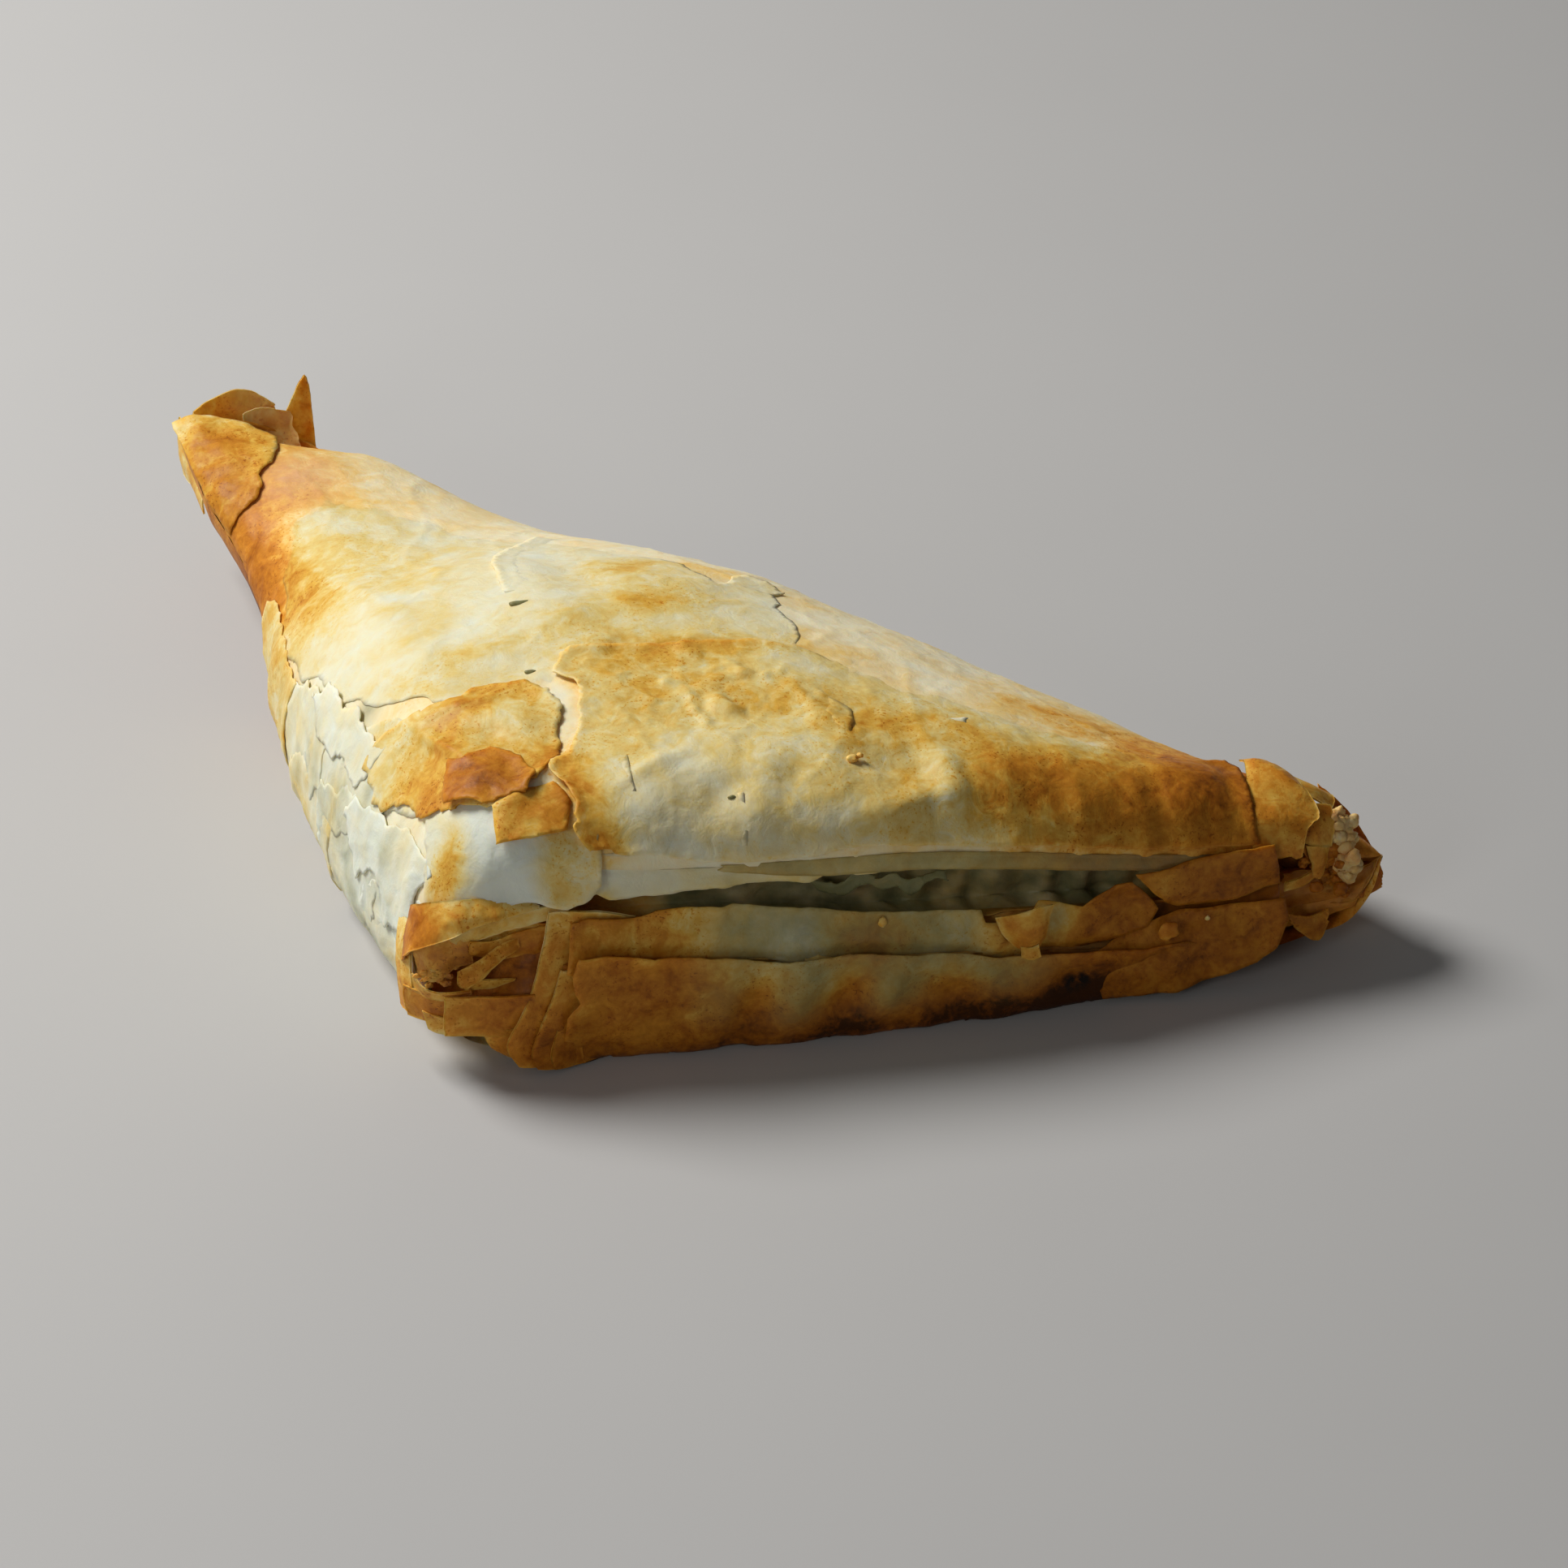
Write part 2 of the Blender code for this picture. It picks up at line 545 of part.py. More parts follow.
def unite(body, pieces):
    """Join the pieces to the body by one Boolean union and remove them."""
    group = bpy.data.collections.new("joined_leaves")
    bpy.context.scene.collection.children.link(group)
    for piece in pieces:
        group.objects.link(piece)
    union = body.modifiers.new("join leaves", "BOOLEAN")
    union.operation = "UNION"
    union.operand_type = "COLLECTION"
    union.collection = group
    union.solver = "MANIFOLD"
    bpy.context.view_layer.objects.active = body
    body.select_set(True)
    bpy.ops.object.modifier_apply(modifier=union.name)
    for piece in pieces:
        bpy.data.objects.remove(piece)
    bpy.data.collections.remove(group)
    shaper = bmesh.new()
    shaper.from_mesh(body.data)
    bmesh.ops.remove_doubles(shaper, verts=shaper.verts, dist=0.02 * MM)
    bmesh.ops.dissolve_degenerate(shaper, edges=shaper.edges, dist=0.02 * MM)
    bmesh.ops.triangulate(shaper, faces=shaper.faces)
    shaper.to_mesh(body.data)
    shaper.free()


def baked_filo():
    """The one material of the pie."""
    material = bpy.data.materials.new("baked_filo")
    material.use_nodes = True
    shader = material.node_tree.nodes["Principled BSDF"]
    shader.inputs["Base Color"].default_value = SAND
    shader.inputs["Roughness"].default_value = 0.55
    material.diffuse_color = SAND
    return material


def main():
    for obj in list(bpy.data.objects):
        bpy.data.objects.remove(obj)
    pie = bpy.data.collections.new(NODE_NAME)
    bpy.context.scene.collection.children.link(pie)
    body = make_body()
    body.name = NODE_NAME
    pie.objects.link(body)
    unite(body, make_leaves())
    body.data.materials.append(baked_filo())


main()
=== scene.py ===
"""Looks of a spanakopita, a spinach and cheese triangle folded from a strip of filo and baked.

The crust is drawn as smooth skins of the folded pie, with torn sheets of filo laid on them. Sheets are cut from
outlines on a chart of the surface they lie on, and free flaps are bent through a few control points. How brown a spot
is baked is worked out per point from broad hot spots and is broken up by noise in the materials. The same stored
value also holds painted shade along the foot and in the hollows of the lowest front sheet and inside the open tip,
and a painted highlight on the lower lip.

Sizes inside are millimetres from the front-left corner of the pie. Meshes are in metres from the middle of its foot.
"""

import itertools
import math

import bmesh
import bpy
import numpy as np
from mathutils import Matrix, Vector, geometry


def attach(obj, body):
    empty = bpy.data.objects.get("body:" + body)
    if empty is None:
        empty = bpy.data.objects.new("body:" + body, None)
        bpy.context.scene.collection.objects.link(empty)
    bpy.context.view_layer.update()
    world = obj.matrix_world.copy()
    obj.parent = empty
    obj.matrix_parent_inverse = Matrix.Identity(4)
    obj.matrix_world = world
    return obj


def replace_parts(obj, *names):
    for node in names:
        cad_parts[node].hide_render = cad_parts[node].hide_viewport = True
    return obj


bl_info = {
    "name": "Spanakopita",
    "version": (1, 0, 0),
    "blender": (4, 5, 0),
    "location": "3D View > Sidebar > Pie",
    "description": "Builds a baked filo triangle with torn, browned sheets",
    "category": "Add Mesh",
}

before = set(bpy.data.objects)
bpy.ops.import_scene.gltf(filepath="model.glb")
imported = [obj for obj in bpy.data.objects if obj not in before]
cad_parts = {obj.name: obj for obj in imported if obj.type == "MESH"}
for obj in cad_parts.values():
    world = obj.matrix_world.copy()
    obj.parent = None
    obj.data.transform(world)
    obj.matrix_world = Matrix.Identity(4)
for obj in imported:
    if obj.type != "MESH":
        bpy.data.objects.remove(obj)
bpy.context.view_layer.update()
NODE = "spanakopita"
MM = 0.001

# ---------------------------------------------------------------- the folded pie
FRONT_LEG = 130.0
TIP_OUTER = np.array([-16.5, 131.5])
TIP_INNER = np.array([3.5, 130.0])
RIGHT_INNER = np.array([123.0, 13.0])
FRONT_BULGE = 5.0
BACK_BULGE = 3.0
LEFT_SWELL = 3.0
LEFT_WAIST = 2.4
PLAN_CENTRE = np.array([56.8, 64.2])

STATIONS = (0.0, 0.1, 0.25, 0.45, 0.65, 0.85, 1.0)
SECOND_FOLD = (14.5, 16.0, 16.0, 13.5, 10.5, 6.5, 4.0)
LOWER_LIP = (20.0, 21.0, 21.5, 18.5, 16.0, 12.0, 7.0)
UPPER_LIP = (25.0, 29.5, 29.0, 27.0, 23.0, 16.5, 11.0)
CROWN = (35.0, 37.0, 38.5, 37.5, 33.5, 27.5, 19.0)
TIP_CROWN = 15.0
TIP_REACH = 95.0
FOLD_HEIGHT = 10.0

LEFT_ROUND = 15.0
RIGHT_ROUND = 6.0
BACK_ROUND = 52.0
FRONT_ROUND = 12.0
UNDER_ROUND = 9.0

TIP_LIFT = (np.array([-10.5, 131.5]), 62.0, 12.5)
RIGHT_LIFT = (np.array([130.0, 0.0]), 40.0, 4.0)
LEFT_LIFT = (np.array([0.0, 0.0]), 26.0, 3.0)
TIP_DIP = 4.0

MOUTH_DEPTH = 5.5
LOWER_BULGE = 1.8
LOWEST_BULGE = 2.5
CUFF_BULGE = 2.7
CORE_FROM = 118.4
CORE_SETBACK = 2.6
CORE_DROP = 1.3
CUFF_STEP = 2.6
POCKET_TO = 15.5
POCKET_SETBACK = 3.6


def along(u, values):
    """A smooth curve through values at the stations."""
    x = np.asarray(STATIONS)
    y = np.asarray(values, float)
    step = np.diff(x)
    slope = np.diff(y) / step
    inner = (slope[:-1] * step[1:] + slope[1:] * step[:-1]) / (step[1:] + step[:-1])
    tangent = np.concatenate([slope[:1], inner, slope[-1:]])
    i = np.clip(np.searchsorted(x, u) - 1, 0, len(step) - 1)
    t = (u - x[i]) / step[i]
    h = step[i]
    return (
        (2 * t**3 - 3 * t**2 + 1) * y[i]
        + (t**3 - 2 * t**2 + t) * h * tangent[i]
        + (3 * t**2 - 2 * t**3) * y[i + 1]
        + (t**3 - t**2) * h * tangent[i + 1]
    )


def rounding(distance, radius):
    """The height share of a quarter ellipse, 0 at the edge and 1 from radius inwards."""
    return np.sqrt(np.clip(1 - (1 - np.clip(distance / radius, 0, 1)) ** 2, 0, 1))


def ramp(value, low, high):
    """A smooth step from 0 at low to 1 at high."""
    t = np.clip((value - low) / (high - low), 0, 1)
    return t * t * (3 - 2 * t)


def front_edge(u):
    """The foot of the front face, from the front-left corner (0) to the right corner (1)."""
    bulge = FRONT_BULGE * np.sin(math.pi * np.clip(u, 0, 1)) ** 0.8
    return np.stack([FRONT_LEG * u, -bulge], -1)


def back_edge(u):
    """The far end of each section: along the cut tip, then along the long back fold."""
    turn = (TIP_INNER[0] - TIP_OUTER[0] * TIP_INNER[1] / TIP_OUTER[1]) / FRONT_LEG
    on_tip = np.clip(u / turn, 0, 1)[..., None]
    on_fold = np.clip((u - turn) / (1 - turn), 0, 1)[..., None]
    run = RIGHT_INNER - TIP_INNER
    outward = np.array([-run[1], run[0]]) / np.hypot(*run)
    fold = TIP_INNER + run * on_fold + outward * BACK_BULGE * np.sin(math.pi * on_fold)
    tip = TIP_OUTER + (TIP_INNER - TIP_OUTER) * on_tip
    return np.where(u[..., None] < turn, tip, fold)


def corner_lift(plan):
    """How far the baked corners have curled up off the table."""
    total = 0.0
    for centre, reach, height in (TIP_LIFT, RIGHT_LIFT, LEFT_LIFT):
        near = np.clip(np.linalg.norm(plan - centre, axis=-1) / reach, 0, 1)
        total = total + height * (1 - near) ** 2 * (1 + 2 * near)
    return total - TIP_DIP * np.exp(-(((plan - [5.0, 128.0]) / 7.5) ** 2).sum(-1))


def section(u, v):
    """Plan point and section width, v millimetres in from the front edge."""
    front, back = front_edge(u), back_edge(u)
    width = np.linalg.norm(back - front, axis=-1)
    share = np.clip(v / width, 0, 1)
    plan = front + (back - front) * share[..., None]
    swell = LEFT_SWELL * np.sin(math.pi * np.clip(share / 0.62, 0, 1))
    waist = LEFT_WAIST * np.sin(math.pi * np.clip((share - 0.58) / 0.28, 0, 1))
    fade = np.clip(1 - u / 0.35, 0, 1) ** 2
    plan = plan - np.stack([(swell - waist) * fade, 0 * u], -1)
    return plan, width


def end_share(u):
    """1 in the middle of the pie, falling to 0 where its left and right ends round over."""
    return rounding(u * FRONT_LEG, LEFT_ROUND) * rounding((1 - u) * FRONT_LEG, RIGHT_ROUND)


def top_height(u, v, plan, width):
    near_tip = np.linalg.norm(plan - (TIP_OUTER + TIP_INNER) / 2, axis=-1)
    near_tip = np.clip(near_tip / TIP_REACH, 0, 1)
    rise = near_tip**2 * (3 - 2 * near_tip) ** 0.9
    crown = TIP_CROWN + (along(u, CROWN) - TIP_CROWN) * rise
    inner = FOLD_HEIGHT + (crown - FOLD_HEIGHT) * rounding((width - v) * 0.72, BACK_ROUND)
    lip = along(u, UPPER_LIP)
    height = np.where(inner < lip, inner, lip + (inner - lip) * rounding(v, FRONT_ROUND))
    return FOLD_HEIGHT + (height - FOLD_HEIGHT) * end_share(u)


def under_height(u, v, width):
    edge = rounding((width - v) * 0.72, UNDER_ROUND) * rounding(u * FRONT_LEG, UNDER_ROUND)
    return FOLD_HEIGHT * (1 - edge * rounding((1 - u) * FRONT_LEG, RIGHT_ROUND))


def core(q):
    return np.clip((q - CORE_FROM) / 0.7, 0, 1)


def pocket(q):
    return np.clip((q - 1.5) / 3.0, 0, 1) * np.clip((POCKET_TO - q) / 0.8, 0, 1)


def raised(plan, height):
    """Plan points and heights above the foot, as points with the corners lifted."""
    return np.concatenate([plan, (height + corner_lift(plan))[..., None]], -1)


# ---------------------------------------------------------------- rumpling
def scramble(cell, seed):
    """A repeatable random whole number for each lattice cell."""
    x, y, z = (cell[..., i].astype(np.uint32) for i in range(3))
    mixed = x * np.uint32(0x8DA6B343) ^ y * np.uint32(0xD8163841) ^ z * np.uint32(0xCB1AB31F)
    mixed = mixed ^ np.uint32((seed * 0x9E3779B9 + 0x7F4A7C15) & 0xFFFFFFFF)
    for shift, factor in ((15, 0x2C1B3C6D), (12, 0x297A2D39)):
        mixed = (mixed ^ (mixed >> np.uint32(shift))) * np.uint32(factor)
    return mixed ^ (mixed >> np.uint32(15))


def waves(points, size, seed=0):
    """Smooth noise from about -1 to 1, with lumps of the given size in millimetres."""
    p = np.asarray(points, float) / size
    cell = np.floor(p).astype(np.int64)
    f = p - cell
    s = f**3 * (f * (6 * f - 15) + 10)
    total = np.zeros(p.shape[:-1])
    for corner in itertools.product((0, 1), repeat=3):
        c = np.array(corner)
        h = scramble(cell + c, seed)
        slope = np.stack([h & 1023, (h >> 10) & 1023, (h >> 20) & 1023], -1) / 511.5 - 1
        total += np.prod(np.where(c, s, 1 - s), -1) * ((f - c) * slope).sum(-1)
    return total * 1.5


def rumple(points, size, seed=0, octaves=3, keep=0.5):
    """Layered noise: each octave is half the size and keeps that share of the height."""
    total, height = 0.0, 1.0
    for k in range(octaves):
        total = total + height * waves(points, size / 2**k, seed + 17 * k)
        height *= keep
    return total


def creases(points, size, seed=0, sharp=4.0):
    """Thin raised lines, 1 on a line and 0 away from it."""
    return (1 - np.clip(np.abs(waves(points, size, seed)) * 2.2, 0, 1)) ** sharp


def spot(x, y, centre, reach, turn=0.0):
    """A soft elliptical spot, 1 in its middle. Turn is in degrees."""
    dx, dy = x - centre[0], y - centre[1]
    c, s = math.cos(math.radians(turn)), math.sin(math.radians(turn))
    return np.exp(-(((dx * c + dy * s) / reach[0]) ** 2) - ((-dx * s + dy * c) / reach[1]) ** 2)


# ---------------------------------------------------------------- charts of the surfaces
def unroll(arc, radius):
    """Distance in from a rounded edge for an arc length over it."""
    over = np.clip(arc / radius, 0, math.pi / 2)
    return radius * (1 - np.cos(over)) + np.clip(arc - radius * math.pi / 2, 0, None)


def roll_up(distance, radius):
    """Arc length over a rounded edge for a distance in from it."""
    over = np.arccos(1 - np.clip(distance, 0, radius) / radius)
    return radius * over + np.clip(distance - radius, 0, None)


def skin(chart):
    """The upper skin: (arc from the left fold, arc back from the lip); a negative arc hangs from the lip."""
    a, w = chart[..., 0], chart[..., 1]
    q = unroll(a, LEFT_ROUND)
    u = np.clip(q / FRONT_LEG, 0, 1)
    v = unroll(w, FRONT_ROUND)
    plan, width = section(u, v)
    made = raised(plan, top_height(u, v, plan, width) - CORE_DROP * core(q) * end_share(u))
    made[..., 2] += np.clip(w, None, 0)
    return made


def on_skin(q, v):
    """Chart point of the skin for distances along and in from the front edge."""
    w = roll_up(np.clip(v, 0, None), FRONT_ROUND) + np.clip(v, None, 0)
    return np.stack([roll_up(np.asarray(q, float), LEFT_ROUND), w], -1)


def lip_wall(chart):
    """The sheet between the lower lip and the second fold: (along the front, height)."""
    q, h = chart[..., 0], chart[..., 1]
    u = q / FRONT_LEG
    low, second = along(u, LOWER_LIP), along(u, SECOND_FOLD)
    down = np.clip((low - h) / (low - second + 1.0), -0.2, 1.3)
    plan = front_edge(u)
    depth = -LOWER_BULGE * 0.75 * np.sin(math.pi / 2 * np.clip(down, 0, 1)) + 0.4 * np.clip(-down, 0, 1)
    plan = plan + np.stack([0 * q, depth], -1)
    return raised(plan, h)


def low_wall(chart):
    """The lowest sheet of the front, from the second fold to the foot: (along the front, height)."""
    q, h = chart[..., 0], chart[..., 1]
    u = q / FRONT_LEG
    second = along(u, SECOND_FOLD)
    out = LOWEST_BULGE * rounding(np.clip(h, 0, None), second * 0.62) + 0.25 * np.clip(1 - h / second, 0, 1)
    plan = front_edge(u) - np.stack([0 * q, out], -1)
    return raised(plan, np.clip(h, 0.15, None))


def slit_wall(chart):
    """A sheet hanging inside the slit: (along the front, height)."""
    q, h = chart[..., 0], chart[..., 1]
    plan = front_edge(q / FRONT_LEG) + np.stack([0 * q, 1.0 + 0 * q], -1)
    return raised(plan, h)


def inner_wall(chart):
    """A sheet deep inside the slit: (along the front, height)."""
    q, h = chart[..., 0], chart[..., 1]
    plan = front_edge(q / FRONT_LEG) + np.stack([0 * q, MOUTH_DEPTH * 0.55 + 0 * q], -1)
    return raised(plan, h)


def cuff_wall(chart):
    """The stepped cuffs that close the slit at its right end: (along the front, height)."""
    q, h = chart[..., 0], chart[..., 1]
    u = q / FRONT_LEG
    out = CUFF_BULGE * (1 - ramp(h, 0.45 * along(u, SECOND_FOLD), along(u, LOWER_LIP)))
    plan = front_edge(u) - np.stack([0 * q, out], -1)
    return raised(plan, np.clip(h, 0.15, None))


def left_wall(chart):
    """The left side: (back from the front corner, height)."""
    v, h = chart[..., 0], chart[..., 1]
    edge = 0 * v + LEFT_ROUND / FRONT_LEG
    plan, width = section(edge, v)
    shoulder = top_height(edge, v, plan, width)
    above = np.clip((h - FOLD_HEIGHT) / (shoulder - FOLD_HEIGHT), 0, 0.995)
    below = np.clip((FOLD_HEIGHT - h) / FOLD_HEIGHT, 0, 0.9)
    q = np.where(
        h > FOLD_HEIGHT,
        LEFT_ROUND * (1 - np.sqrt(1 - above**2)),
        UNDER_ROUND * (1 - np.sqrt(1 - below**2)),
    )
    plan, _ = section(q / FRONT_LEG, v)
    return raised(plan, h)


# ---------------------------------------------------------------- how the surface is rumpled and baked
# Dents, rims and facets of the upper skin: (along the front, in from it, reach, reach, turn, height).
SKIN_FOLDS = (
    (64.0, 8.8, 5.5, 3.8, -12, -1.8), (71.0, 12.0, 5.0, 3.0, -10, -0.6), (64.5, 3.4, 7.5, 1.4, 10, 0.95),
    (71.5, 7.5, 1.8, 4.0, 0, 0.6), (58.5, 19.0, 2.4, 6.0, 25, 0.7), (40.0, 5.0, 8.0, 3.4, 20, -0.8),
    (33.5, 10.5, 5.0, 1.2, 28, 0.6), (46.0, 7.0, 2.4, 6.0, -30, 0.5), (52.0, 8.0, 2.6, 5.0, -30, -0.6),
    (32.0, 50.0, 9.0, 22.0, 0, 0.8), (38.0, 62.0, 4.0, 18.0, 0, -0.8), (10.4, 22.5, 0.8, 5.5, 12, 0.9),
    (19.0, 10.8, 6.0, 0.9, 44, 0.8), (7.4, 22.0, 2.4, 6.0, 0, -0.8), (19.0, 25.0, 5.0, 3.0, -20, 0.7),
    (15.5, 21.0, 2.4, 4.0, 30, -0.7), (14.0, 29.0, 6.0, 1.2, 5, 0.5),
)
# Hollows and folds of the front sheets: (along the front, height, reach, reach, turn, share or height).
HOLLOWS = (
    (42.5, 8.0, 2.8, 6.0, -20, 1.0), (54.5, 7.0, 3.2, 4.5, -24, 1.0), (69.0, 6.0, 4.5, 3.4, -10, 0.9),
    (85.0, 5.0, 3.0, 2.5, 0, 0.7),
)
WALL_FOLDS = (
    (48.0, 18.0, 1.6, 4.0, -14, 0.5), (60.5, 8.0, 1.8, 5.0, -22, 0.6), (48.0, 8.5, 1.8, 5.0, -20, 0.7),
    (38.0, 21.0, 1.2, 5.0, -12, 0.5), (75.0, 14.0, 1.5, 3.0, 0, 0.5), (72.0, 14.5, 1.4, 3.0, 0, -0.4),
)
HOLLOW_DEPTH = 1.3
FOLD_STRENGTH = 1.3
TIP_RIM = np.array([-13.0, 131.5])
TIP_OUTWARD = np.array([0.743, 0.67])
TIP_HOLLOW_DEPTH = 4.5


def spotted(x, y, spots):
    """The sum of soft spots, each (place, place, reach, reach, turn, amount)."""
    return sum(amount * spot(x, y, (cx, cy), (rx, ry), turn) for cx, cy, rx, ry, turn, amount in spots)


def skin_relief(q, v, points):
    """Height in millimetres of blisters, dents and folds on the upper skin."""
    depth = bpy.context.scene.pie_crust.rumpling
    soft = 0.42 * rumple(points, 19.0, 3, 2)
    fade = ramp(v, -0.5, 5.0)
    blistered = np.clip(spot(q, v, (42, 27), (14, 11)) + 0.6 * spot(q, v, (58, 24), (9, 9)), 0, 1)
    bubbles = ramp(rumple(points, 6.5, 11, 2), 0.05, 0.9) + 0.45 * ramp(rumple(points, 3.2, 13, 2), 0.15, 0.9)
    blister = bubbles * (0.12 + 0.95 * blistered)
    lines = creases(points * [1.0, 0.6, 1.0], 13.0, 21, 8.0) * 0.16
    flutes = waves(points * [1.0, 0.22, 0.22], 4.4, 31) * 0.62 * spot(q, v, (88, 4), (30, 9))
    grain = 0.07 * rumple(points, 1.7, 41, 2)
    return depth * (fade * (soft + blister + lines) + flutes + spotted(q, v, SKIN_FOLDS)) + grain


def front_hollows(q, h):
    """1 in the middle of the dark hollows along the lowest sheet."""
    return spotted(q, h, HOLLOWS)


def wall_relief(q, h, points):
    """Height of dents and pleats on the front sheets."""
    depth = bpy.context.scene.pie_crust.rumpling
    soft = 0.35 * rumple(points, 12.0, 51, 3)
    folds = spotted(q, h, WALL_FOLDS) - HOLLOW_DEPTH * front_hollows(q, h)
    return depth * (soft + FOLD_STRENGTH * folds) + 0.06 * rumple(points, 1.8, 61, 2)


def left_relief(v, h, points):
    depth = bpy.context.scene.pie_crust.rumpling
    drape = rumple(points * [1.0, 1.0, 0.45], 7.0, 71, 3)
    return depth * (0.34 * drape + 0.16 * creases(points, 8.0, 73, 6.0)) + 0.05 * rumple(points, 1.6, 75, 2)


def side_paleness(q, v):
    """1 on the left side, which baked pale, and 0 elsewhere."""
    return (1 - ramp(q, 2.0, 9.0)) * ramp(v, 3.0, 14.0) * (1 - ramp(v, 58.0, 82.0))


def skin_rumple(q, v, points):
    """Relief of the whole upper skin: blistered on top, crumpled down the left side."""
    side = (1 - ramp(q, 1.0, 8.0)) * ramp(v, 2.0, 12.0)
    return skin_relief(q, v, points) * (1 - 0.6 * side) + left_relief(v, points[..., 2], points) * side


def tip_hollow(plan):
    """How far the skin sinks inside the open tip, beyond the rim of its cuff."""
    beyond = (plan - TIP_RIM) @ TIP_OUTWARD
    return TIP_HOLLOW_DEPTH * ramp(beyond, 0.3, 3.0) * ramp(plan[..., 1], 121.0, 125.0)


def seen_from_above(q, v):
    """Plan point for a distance along and in from the front edge; a negative v is in front of it."""
    plan, _ = section(np.asarray(q / FRONT_LEG), np.asarray(max(v, 0.0)))
    return plan[0], plan[1] + min(v, 0.0)


def hot_spots(points, spots):
    """Browning from soft spots: (along the front, in from it, reach, reach, turn, amount)."""
    total = 0.0
    for q, v, rx, ry, turn, amount in spots:
        total = total + amount * spot(points[..., 0], points[..., 1], seen_from_above(q, v), (rx, ry), turn)
    return total


# Broad baking of the whole pie: (along the front, in from it, reach, reach, turn, amount).
HEAT = (
    (5.0, 122.0, 14.0, 12.0, 0.0, 0.44),
    (1.0, 96.0, 5.0, 20.0, 7.0, 0.54),
    (13.5, 110.0, 8.0, 7.0, 0.0, 0.20),
    (14.0, 84.0, 8.0, 13.0, 7.0, 0.15),
    (7.0, 79.0, 3.0, 6.0, 20.0, 0.18),
    (31.0, 68.0, 5.0, 9.0, 10.0, -0.07),
    (47.5, 52.0, 9.0, 5.0, 0.0, 0.22),
    (44.5, 64.0, 8.0, 7.0, 0.0, 0.14),
    (60.0, 62.0, 12.0, 4.0, -45.0, 0.10),
    (33.5, 44.0, 7.0, 4.0, 0.0, 0.16),
    (18.0, 41.0, 9.0, 3.0, 8.0, 0.13),
    (12.0, 34.5, 5.0, 3.0, 0.0, 0.10),
    (46.0, 37.5, 15.0, 4.0, 0.0, 0.30),
    (37.0, 27.0, 10.0, 9.0, 0.0, 0.20),
    (50.0, 27.0, 10.0, 7.0, -10.0, 0.12),
    (22.5, 8.0, 3.4, 9.0, 8.0, 0.36),
    (30.0, 14.0, 6.0, 5.0, 0.0, 0.12),
    (48.5, 10.7, 8.0, 5.0, 0.0, 0.07),
    (26.5, 28.0, 2.0, 6.0, 0.0, -0.22),
    (60.0, 5.0, 9.0, 5.0, 0.0, 0.12),
    (68.0, 17.0, 15.0, 7.0, -14.0, 0.28),
    (84.0, 5.0, 13.0, 6.5, 0.0, 0.38),
    (93.0, 24.0, 11.0, 5.0, -35.0, 0.16),
    (104.0, 4.0, 15.0, 9.0, 0.0, 0.44),
    (108.0, 17.0, 14.0, 9.0, -40.0, 0.34),
    (120.0, 6.0, 9.0, 11.0, 0.0, 0.34),
)


def crust_baking(points):
    """How brown the upper crust is, from 0 for raw white to 1 for dark brown."""
    return 0.16 + hot_spots(points, HEAT)


def tip_rosiness(points):
    """The pinkish stretch of the crust in front of the tip."""
    return 0.95 * spot(points[..., 0], points[..., 1], seen_from_above(13.5, 113.0), (8.0, 9.0))


def front_baking(points):
    """How brown the sheets of the lower front are."""
    x = points[..., 0]
    left = 0.34 * (1 - ramp(x, 22.0, 46.0))
    right = 0.42 * ramp(x, 66.0, 92.0)
    patch = 0.22 * spot(x, points[..., 2], (58, 15), (5, 5)) + 0.2 * spot(x, points[..., 2], (33, 12), (7, 4))
    return 0.28 + left + right + patch


# ---------------------------------------------------------------- meshes
def pie_mesh(name, points, faces, baking, extras, material):
    """A piece of the pie from points in millimetres, with its baking, in places also painted shade or highlight, stored
    on its points.
    """
    mesh = bpy.data.meshes.new(name)
    placed = (np.asarray(points, float) - [*PLAN_CENTRE, 0.0]) * MM
    mesh.from_pydata(placed.tolist(), [], faces.tolist() if isinstance(faces, np.ndarray) else faces)
    mesh.shade_smooth()
    for key, values in {"baking": baking, **extras}.items():
        layer = mesh.attributes.new(key, "FLOAT", "POINT")
        layer.data.foreach_set("value", np.broadcast_to(values, len(points)).astype(np.float32).ravel())
    piece = bpy.data.objects.new(name, mesh)
    bpy.context.scene.collection.objects.link(piece)
    mesh.materials.append(material)
    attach(piece, "root")
    return piece


def grid_faces(rows, columns):
    i, j = np.meshgrid(np.arange(rows - 1), np.arange(columns - 1), indexing="ij")
    first = (i * columns + j).ravel()
    return np.stack([first, first + 1, first + columns + 1, first + columns], -1)


def grid_normals(grid):
    across = np.cross(np.gradient(grid, axis=0), np.gradient(grid, axis=1))
    return across / (np.linalg.norm(across, axis=-1, keepdims=True) + 1e-9)


def chart_normals(chart, at, outward):
    step = 0.35
    dx = chart(at + [step, 0]) - chart(at - [step, 0])
    dy = chart(at + [0, step]) - chart(at - [0, step])
    normal = np.cross(dx, dy)
    normal /= np.linalg.norm(normal, axis=-1, keepdims=True) + 1e-9
    return normal if (normal @ np.asarray(outward)).mean() > 0 else -normal


def jagged(where, step, seed):
    """Random straight-sided teeth from -1 to 1, about step apart."""
    dice = np.random.default_rng(seed)
    count = int(np.max(where) / step * 1.4) + 10
    knots = (np.cumsum(dice.uniform(0.35, 1.65, count)) - 1) * step
    return np.interp(where, knots, dice.uniform(-1, 1, count))


